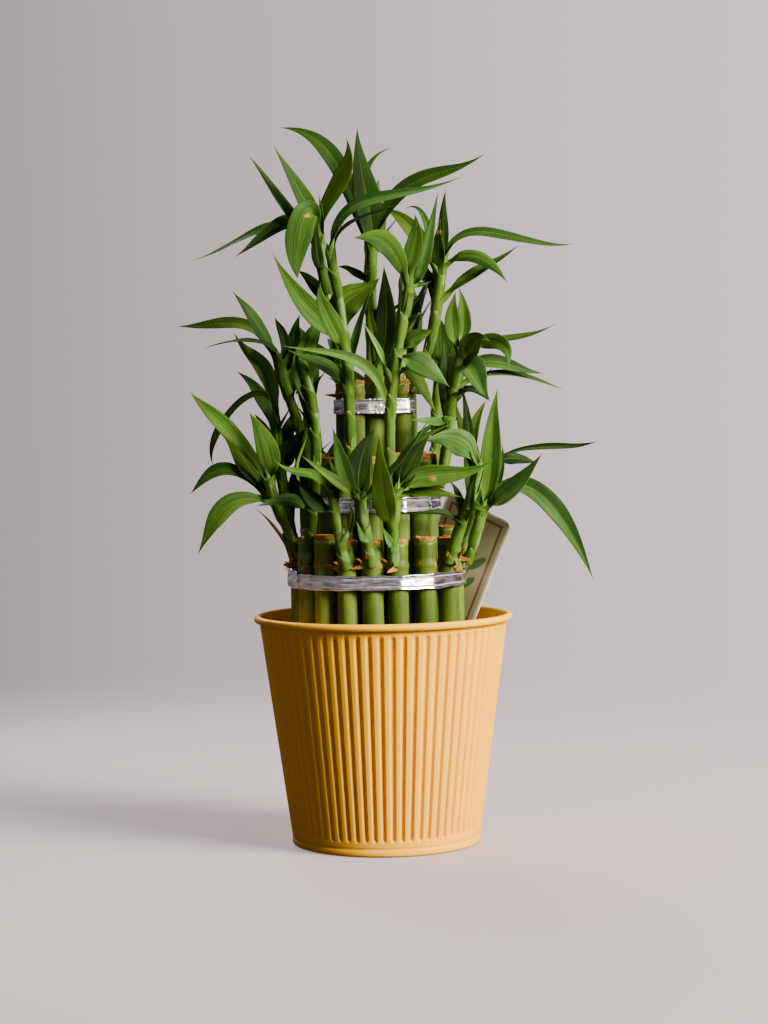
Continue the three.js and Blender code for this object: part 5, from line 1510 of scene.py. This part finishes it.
def pot_material(coat):
    """Powder-coated steel: an even ochre with a very fine orange-peel, matt, barely any gloss."""
    material, tree, shader = new_material("powder_coated_steel", {"IOR": 1.45, "Specular IOR Level": 0.07})
    place = add_node(tree, "ShaderNodeTexCoord").outputs["Object"]
    peel = add_node(tree, NOISE, {"Vector": place, "Scale": 900.0, "Detail": 2.0}).outputs["Fac"]
    cloud = add_node(tree, NOISE, {"Vector": place, "Scale": 22.0, "Detail": 4.0}).outputs["Fac"]
    share = add_node(tree, MATH, {0: cloud, 1: 0.16}, operation="MULTIPLY").outputs[0]
    inputs = {0: cloud, 1: 0.12, 2: 0.46}
    rough = add_node(tree, MATH, inputs, operation="MULTIPLY_ADD").outputs[0]
    sockets = {"Base Color": layered(tree, (*coat, 1), (share, "#cc9024")), "Roughness": rough}
    finished(tree, shader, peel, 0.25, 0.0002, sockets)
    return material


def soil_material():
    """Potting soil: dark damp crumbs with lighter fibres."""
    material, tree, shader = new_material("potting_soil", {"Roughness": 0.92, "Specular IOR Level": 0.25})
    tone, _, _ = tint_parts(tree)
    crumbs = grained(tree, (1, 1, 1), 0.5, 6.0)
    factor = varied(tree, crumbs, (tone, 0.2, 0.5))
    colour = add_node(tree, RAMP, {"Fac": factor}, SOIL_BROWN).outputs["Color"]
    finished(tree, shader, crumbs, 0.9, 0.0012, {"Base Color": colour})
    return material


def foil_material():
    """Metallised film: a blurred mirror, bright where it is loose; where it is taut its colour is a
    darker, brownish painted reflection, streaked level; its folds are painted white, a painted
    highlight, and scatter the light."""
    material, tree, shader = new_material("metallised_film", {"Roughness": 0.22})
    fold, loose, _ = tint_parts(tree)
    creases = grained(tree, (0.12, 1, 0.5), 0.9, 1.0)
    fine = grained(tree, (0.08, 1, 1.1), 1.0, 1.0)
    # Painted reflection: the taut foil's colour is darker and brownish, streaked level.
    dull = add_node(tree, RAMP, {"Fac": creases}, FOIL_PAINTED_REFLECTION).outputs["Color"]
    bright = add_node(tree, RAMP, {"Fac": fine}, FOIL_BRIGHT).outputs["Color"]
    inputs = {0: fold, 1: -0.7, 2: 1.0}
    metal = add_node(tree, MATH, inputs, operation="MULTIPLY_ADD").outputs[0]
    low = add_node(tree, MATH, {0: fine, 1: 0.2}, operation="MULTIPLY").outputs[0]
    height = add_node(tree, MATH, {0: creases, 1: low}, operation="ADD").outputs[0]
    # The colour holds a painted reflection where taut and a painted highlight, white, on the folds.
    sockets = {"Base Color": layered(tree, dull, (loose, bright), (fold, "#ffffff")), "Metallic": metal}
    finished(tree, shader, height, 0.15, 0.0008, sockets)
    return material


def card_material():
    """Coated card: sage print with a sprig and a band, a white cut edge, a faint sheen."""
    material, tree, shader = new_material("coated_card", {"Roughness": 0.42, "Coat Weight": 0.2})
    sprig, band, edge = tint_parts(tree)
    fibre = grained(tree, (1, 1, 1), 2.5, 3.0)
    ground = add_node(tree, RAMP, {"Fac": fibre}, CARD_SAGE).outputs["Color"]
    colour = layered(tree, ground, (sprig, "#4a6a2a"), (band, "#6e452c"), (edge, "#eeece2"))
    finished(tree, shader, fibre, 0.1, 0.0001, {"Base Color": colour})
    return material


# Sizes and colours that a user would change.


class POT_PG_sizes(bpy.types.PropertyGroup):
    """The pot's ribs and colour."""

    rib_count: IntProperty(
        name="Ribs", description="Upright ribs round the pot", default=RIB_COUNT, min=12
    )
    rib_depth: FloatProperty(
        name="Rib depth",
        description="Depth of the grooves between the ribs",
        default=RIB_DEPTH * MM,
        unit="LENGTH",
    )
    coat: FloatVectorProperty(
        name="Coat",
        description="Colour of the powder coat",
        default=linear("#f0aa10")[:3],
        subtype="COLOR",
    )


class PLANT_PG_looks(bpy.types.PropertyGroup):
    """How the leaves are finished."""

    leaf_thickness: FloatProperty(
        name="Leaf thickness",
        description="Thickness of a blade at its midrib",
        default=0.7 * MM,
        unit="LENGTH",
    )
    leaf_wave: FloatProperty(
        name="Leaf wave",
        description="Height of the waves along a blade's edge over its half width",
        default=0.09,
    )


class STAGE_PG_looks(bpy.types.PropertyGroup):
    """Floor, backdrop and lights."""

    backdrop: FloatVectorProperty(
        name="Backdrop",
        description="Colour behind the plant",
        default=linear("#d8c8cc")[:3],
        subtype="COLOR",
    )
    key_power: FloatProperty(
        name="Key light", description="Power of the large soft light", default=800.0, unit="POWER"
    )


class POT_OT_build(bpy.types.Operator):
    """Builds the ribbed pot"""

    bl_idname = "plant.build_pot"
    bl_label = "Pot"

    def execute(self, context):
        sizes = context.scene.pot_sizes
        build_pot(sizes, pot_material(tuple(sizes.coat)))
        return {"FINISHED"}


class SOIL_OT_build(bpy.types.Operator):
    """Builds the soil in the pot"""

    bl_idname = "plant.build_soil"
    bl_label = "Soil"

    def execute(self, context):
        build_soil(soil_material())
        return {"FINISHED"}


class CANES_OT_build(bpy.types.Operator):
    """Builds each cane with its shoot and leaves"""

    bl_idname = "plant.build_canes"
    bl_label = "Canes and leaves"

    def execute(self, context):
        looks = context.scene.plant_looks
        canes = make_canes()
        grown = grow_shoots(canes)
        materials = [cane_material(), leaf_material(), stalk_material()]
        for number, (name, cane) in enumerate(canes.items()):
            skin = Skin()
            seed = 100 * (number + 1)
            add_cane(skin, name, cane, seed, grown[name])
            for stalk, leaves in grown[name]:
                add_stalk(skin, stalk, [place for place, _ in leaves], seed + 50)
                order = sorted(range(len(leaves)), key=lambda k: -leaves[k][0])
                length = stalk.curve.length()
                for rank, index in enumerate(order):
                    place, leaf = leaves[index]
                    inside = [k for k in order[:rank] if (leaves[k][0] - place) * length < SHEATH_LENGTH]
                    spot = SPOTS.get((name, index))
                    add_leaf(skin, stalk, place, leaf, min(len(inside), 3), seed + index, looks, spot)
            skin.piece(name.replace("cane", "stem"), materials, "plant", [name])
        return {"FINISHED"}


class TIES_OT_build(bpy.types.Operator):
    """Builds the three foil ties"""

    bl_idname = "plant.build_ties"
    bl_label = "Foil ties"

    def execute(self, context):
        canes = make_canes()
        foil = foil_material()
        ties = [
            ("foil_lower", "tie_lower", "outer", 11, (-112, -58, 1.6)),
            ("foil_middle", "tie_middle", "middle", 21, (58, 104, -0.8)),
            ("foil_upper", "tie_upper", "inner", 31, (-62, -20, 0.8)),
        ]
        for name, node, tier, seed, tail in ties:
            ring = [cane for cane in canes.values() if cane["tier"] == tier]
            build_tie(name, node, ring, TIE_MIDDLE_Z[tier], seed, tail, foil)
        return {"FINISHED"}


class CARD_OT_build(bpy.types.Operator):
    """Builds the card that leans behind the canes"""

    bl_idname = "plant.build_card"
    bl_label = "Card"

    def execute(self, context):
        build_card(card_material())
        return {"FINISHED"}


# Stage, in metres. A lamp: its place, its aim, its size, its share of the key's power, its colour.
LAMPS = {
    "key": ((3.0, -1.9, 1.9), (0, 0, 0.22), 1.9, 1.0, (1.0, 0.95, 0.88)),
    "fill": ((-1.2, -1.5, 0.6), (0, 0, 0.2), 1.2, 0.0012, (0.93, 0.95, 1.0)),
    "back": ((-0.9, 2.9, 2.1), (0, 0, 0.2), 1.9, 0.15, (1.0, 0.97, 0.94)),
}
FLOOR_RADII = (0.02, 0.2, 0.5, 1.0)
FLOOR_SIDES = 96

# Camera: lens and sensor in mm, how far it looks down and how far it is rolled in degrees.
CAMERA_LENS = 85
CAMERA_SENSOR = 36
CAMERA_DROP = 2.59
CAMERA_ROLL = 0.9


def add_lamp(name, place, aim, size, power, colour):
    """A square soft light at a place, turned to its aim."""
    lamp = bpy.data.lights.new(name, "AREA")
    lamp.size = size
    lamp.energy = power
    lamp.color = colour
    holder = bpy.data.objects.new(name, lamp)
    holder.location = place
    holder.rotation_euler = (Vector(aim) - Vector(place)).to_track_quat("-Z", "Y").to_euler()
    bpy.context.scene.collection.objects.link(holder)


def floor_material(colour):
    """A pale floor: the eye sees the backdrop's colour, part lit and part glowing, and nothing at
    all from the edge on; it throws only dim light back at the pot."""
    material, tree, shader = new_material("pale_floor", {"Roughness": 0.9, "Specular IOR Level": 0.1})
    seen = add_node(tree, "ShaderNodeLightPath").outputs["Is Camera Ray"]
    tree.links.new(layered(tree, "#3c3936", (seen, colour)), shader.inputs["Base Color"])
    place = add_node(tree, "ShaderNodeTexCoord").outputs["Object"]
    far = add_node(tree, "ShaderNodeVectorMath", {0: place}, operation="LENGTH").outputs["Value"]
    inputs = {"Value": far, "From Min": 0.3, "From Max": 0.95}
    fade = add_node(tree, "ShaderNodeMapRange", inputs, interpolation_type="SMOOTHSTEP").outputs["Result"]
    glow = add_node(tree, "ShaderNodeEmission", {"Color": colour, "Strength": 0.95}).outputs["Emission"]
    share = add_node(tree, MATH, {0: seen, 1: 0.55}, operation="MULTIPLY").outputs[0]
    lit = add_node(tree, BLEND, {0: share, 1: shader.outputs["BSDF"], 2: glow}).outputs["Shader"]
    clear = add_node(tree, "ShaderNodeBsdfTransparent").outputs["BSDF"]
    blend = add_node(tree, BLEND, {0: fade, 1: lit, 2: clear})
    output = next(node for node in tree.nodes if node.type == "OUTPUT_MATERIAL")
    tree.links.new(blend.outputs["Shader"], output.inputs["Surface"])
    return material


def build_floor(colour):
    """A round pale floor that melts into the backdrop towards its edge."""
    turn = circle(FLOOR_SIDES)
    radius = np.array(FLOOR_RADII)[:, None]
    ring = stacked((len(radius), FLOOR_SIDES), radius * np.cos(turn), radius * np.sin(turn), 0.0)
    index = np.arange(ring.size // 3).reshape(ring.shape[:2])
    right = np.roll(index, -1, axis=1)
    quads = np.stack([index[:-1], index[1:], right[1:], right[:-1]], axis=-1).reshape(-1, 4)
    mesh = bpy.data.meshes.new("floor")
    mesh.from_pydata(ring.reshape(-1, 3).tolist(), [], quads.tolist() + [index[0].tolist()])
    floor = bpy.data.objects.new("floor", mesh)
    bpy.context.scene.collection.objects.link(floor)
    floor.location.z = -0.0002
    mesh.materials.append(floor_material(colour))


def build_backdrop(scene, colour):
    """A world that the eye sees as the backdrop, lighter to the right, and that lights the plant
    with an even grey, stronger for what mirrors it."""
    world = bpy.data.worlds.new("backdrop")
    scene.world = world
    world.use_nodes = True
    tree = world.node_tree
    tree.nodes.clear()
    way = add_node(tree, "ShaderNodeTexCoord").outputs["Generated"]
    aside = add_node(tree, "ShaderNodeSeparateXYZ", {"Vector": way}).outputs["X"]
    inputs = {"Value": aside, "From Min": -0.16, "From Max": 0.16, "To Min": 0.73, "To Max": 1.6}
    side = add_node(tree, "ShaderNodeMapRange", inputs).outputs["Result"]
    seen = add_node(tree, "ShaderNodeBackground", {"Color": colour, "Strength": side})
    path = add_node(tree, "ShaderNodeLightPath")
    inputs = {0: path.outputs["Is Glossy Ray"], 1: 0.25, 2: 0.17}
    shine = add_node(tree, MATH, inputs, operation="MULTIPLY_ADD").outputs[0]
    light = add_node(tree, "ShaderNodeBackground", {"Color": "#cfcbd0", "Strength": shine})
    ray = path.outputs["Is Camera Ray"]
    blend = add_node(tree, BLEND, {0: ray, 1: light.outputs["Background"], 2: seen.outputs["Background"]})
    add_node(tree, "ShaderNodeOutputWorld", {"Surface": blend.outputs["Shader"]})


def build_camera(scene):
    """The eye in front of the plant, looking down a little."""
    camera = bpy.data.cameras.new("photo_view")
    camera.lens = CAMERA_LENS
    camera.sensor_width = CAMERA_SENSOR
    holder = bpy.data.objects.new("photo_view", camera)
    pitch = Matrix.Rotation(math.radians(90 - CAMERA_DROP), 4, "X")
    roll = Matrix.Rotation(math.radians(-CAMERA_ROLL), 4, "Z")
    place = Matrix.Translation((EYE_X * MM, -EYE_DISTANCE * MM, EYE_Z * MM))
    holder.matrix_world = place @ (pitch @ roll)
    scene.collection.objects.link(holder)
    scene.camera = holder


class STAGE_OT_build(bpy.types.Operator):
    """Builds floor, backdrop, lights and camera"""

    bl_idname = "plant.build_stage"
    bl_label = "Stage"

    def execute(self, context):
        looks = context.scene.stage_looks
        colour = (*looks.backdrop, 1)
        build_floor(colour)
        build_backdrop(context.scene, colour)
        for name, (place, aim, size, share, light) in LAMPS.items():
            add_lamp(name, place, aim, size, looks.key_power * share, light)
        build_camera(context.scene)
        return {"FINISHED"}


class PLANT_PT_panel(bpy.types.Panel):
    """Sidebar panel with the plant's pieces and their sizes."""

    bl_idname = "PLANT_PT_panel"
    bl_label = "Lucky bamboo"
    bl_space_type = "VIEW_3D"
    bl_region_type = "UI"
    bl_category = "Plant"

    def draw(self, context):
        scene = context.scene
        for group in (scene.pot_sizes, scene.plant_looks, scene.stage_looks):
            box = self.layout.box()
            for key in group.__annotations__:
                box.prop(group, key)
        for operator in OPERATORS:
            self.layout.operator(operator.bl_idname)


GROUPS = {"pot_sizes": POT_PG_sizes, "plant_looks": PLANT_PG_looks, "stage_looks": STAGE_PG_looks}
OPERATORS = (POT_OT_build, SOIL_OT_build, CANES_OT_build, TIES_OT_build, CARD_OT_build, STAGE_OT_build)


def register():
    for group in (*GROUPS.values(), *OPERATORS, PLANT_PT_panel):
        bpy.utils.register_class(group)
    for key, group in GROUPS.items():
        setattr(bpy.types.Scene, key, PointerProperty(type=group))


def unregister():
    for key in GROUPS:
        delattr(bpy.types.Scene, key)
    for group in (PLANT_PT_panel, *reversed(OPERATORS), *reversed(GROUPS.values())):
        bpy.utils.unregister_class(group)


def main():
    register()
    bpy.ops.plant.build_pot()
    bpy.ops.plant.build_soil()
    bpy.ops.plant.build_canes()
    bpy.ops.plant.build_ties()
    bpy.ops.plant.build_card()
    bpy.ops.plant.build_stage()


if __name__ == "__main__":
    main()
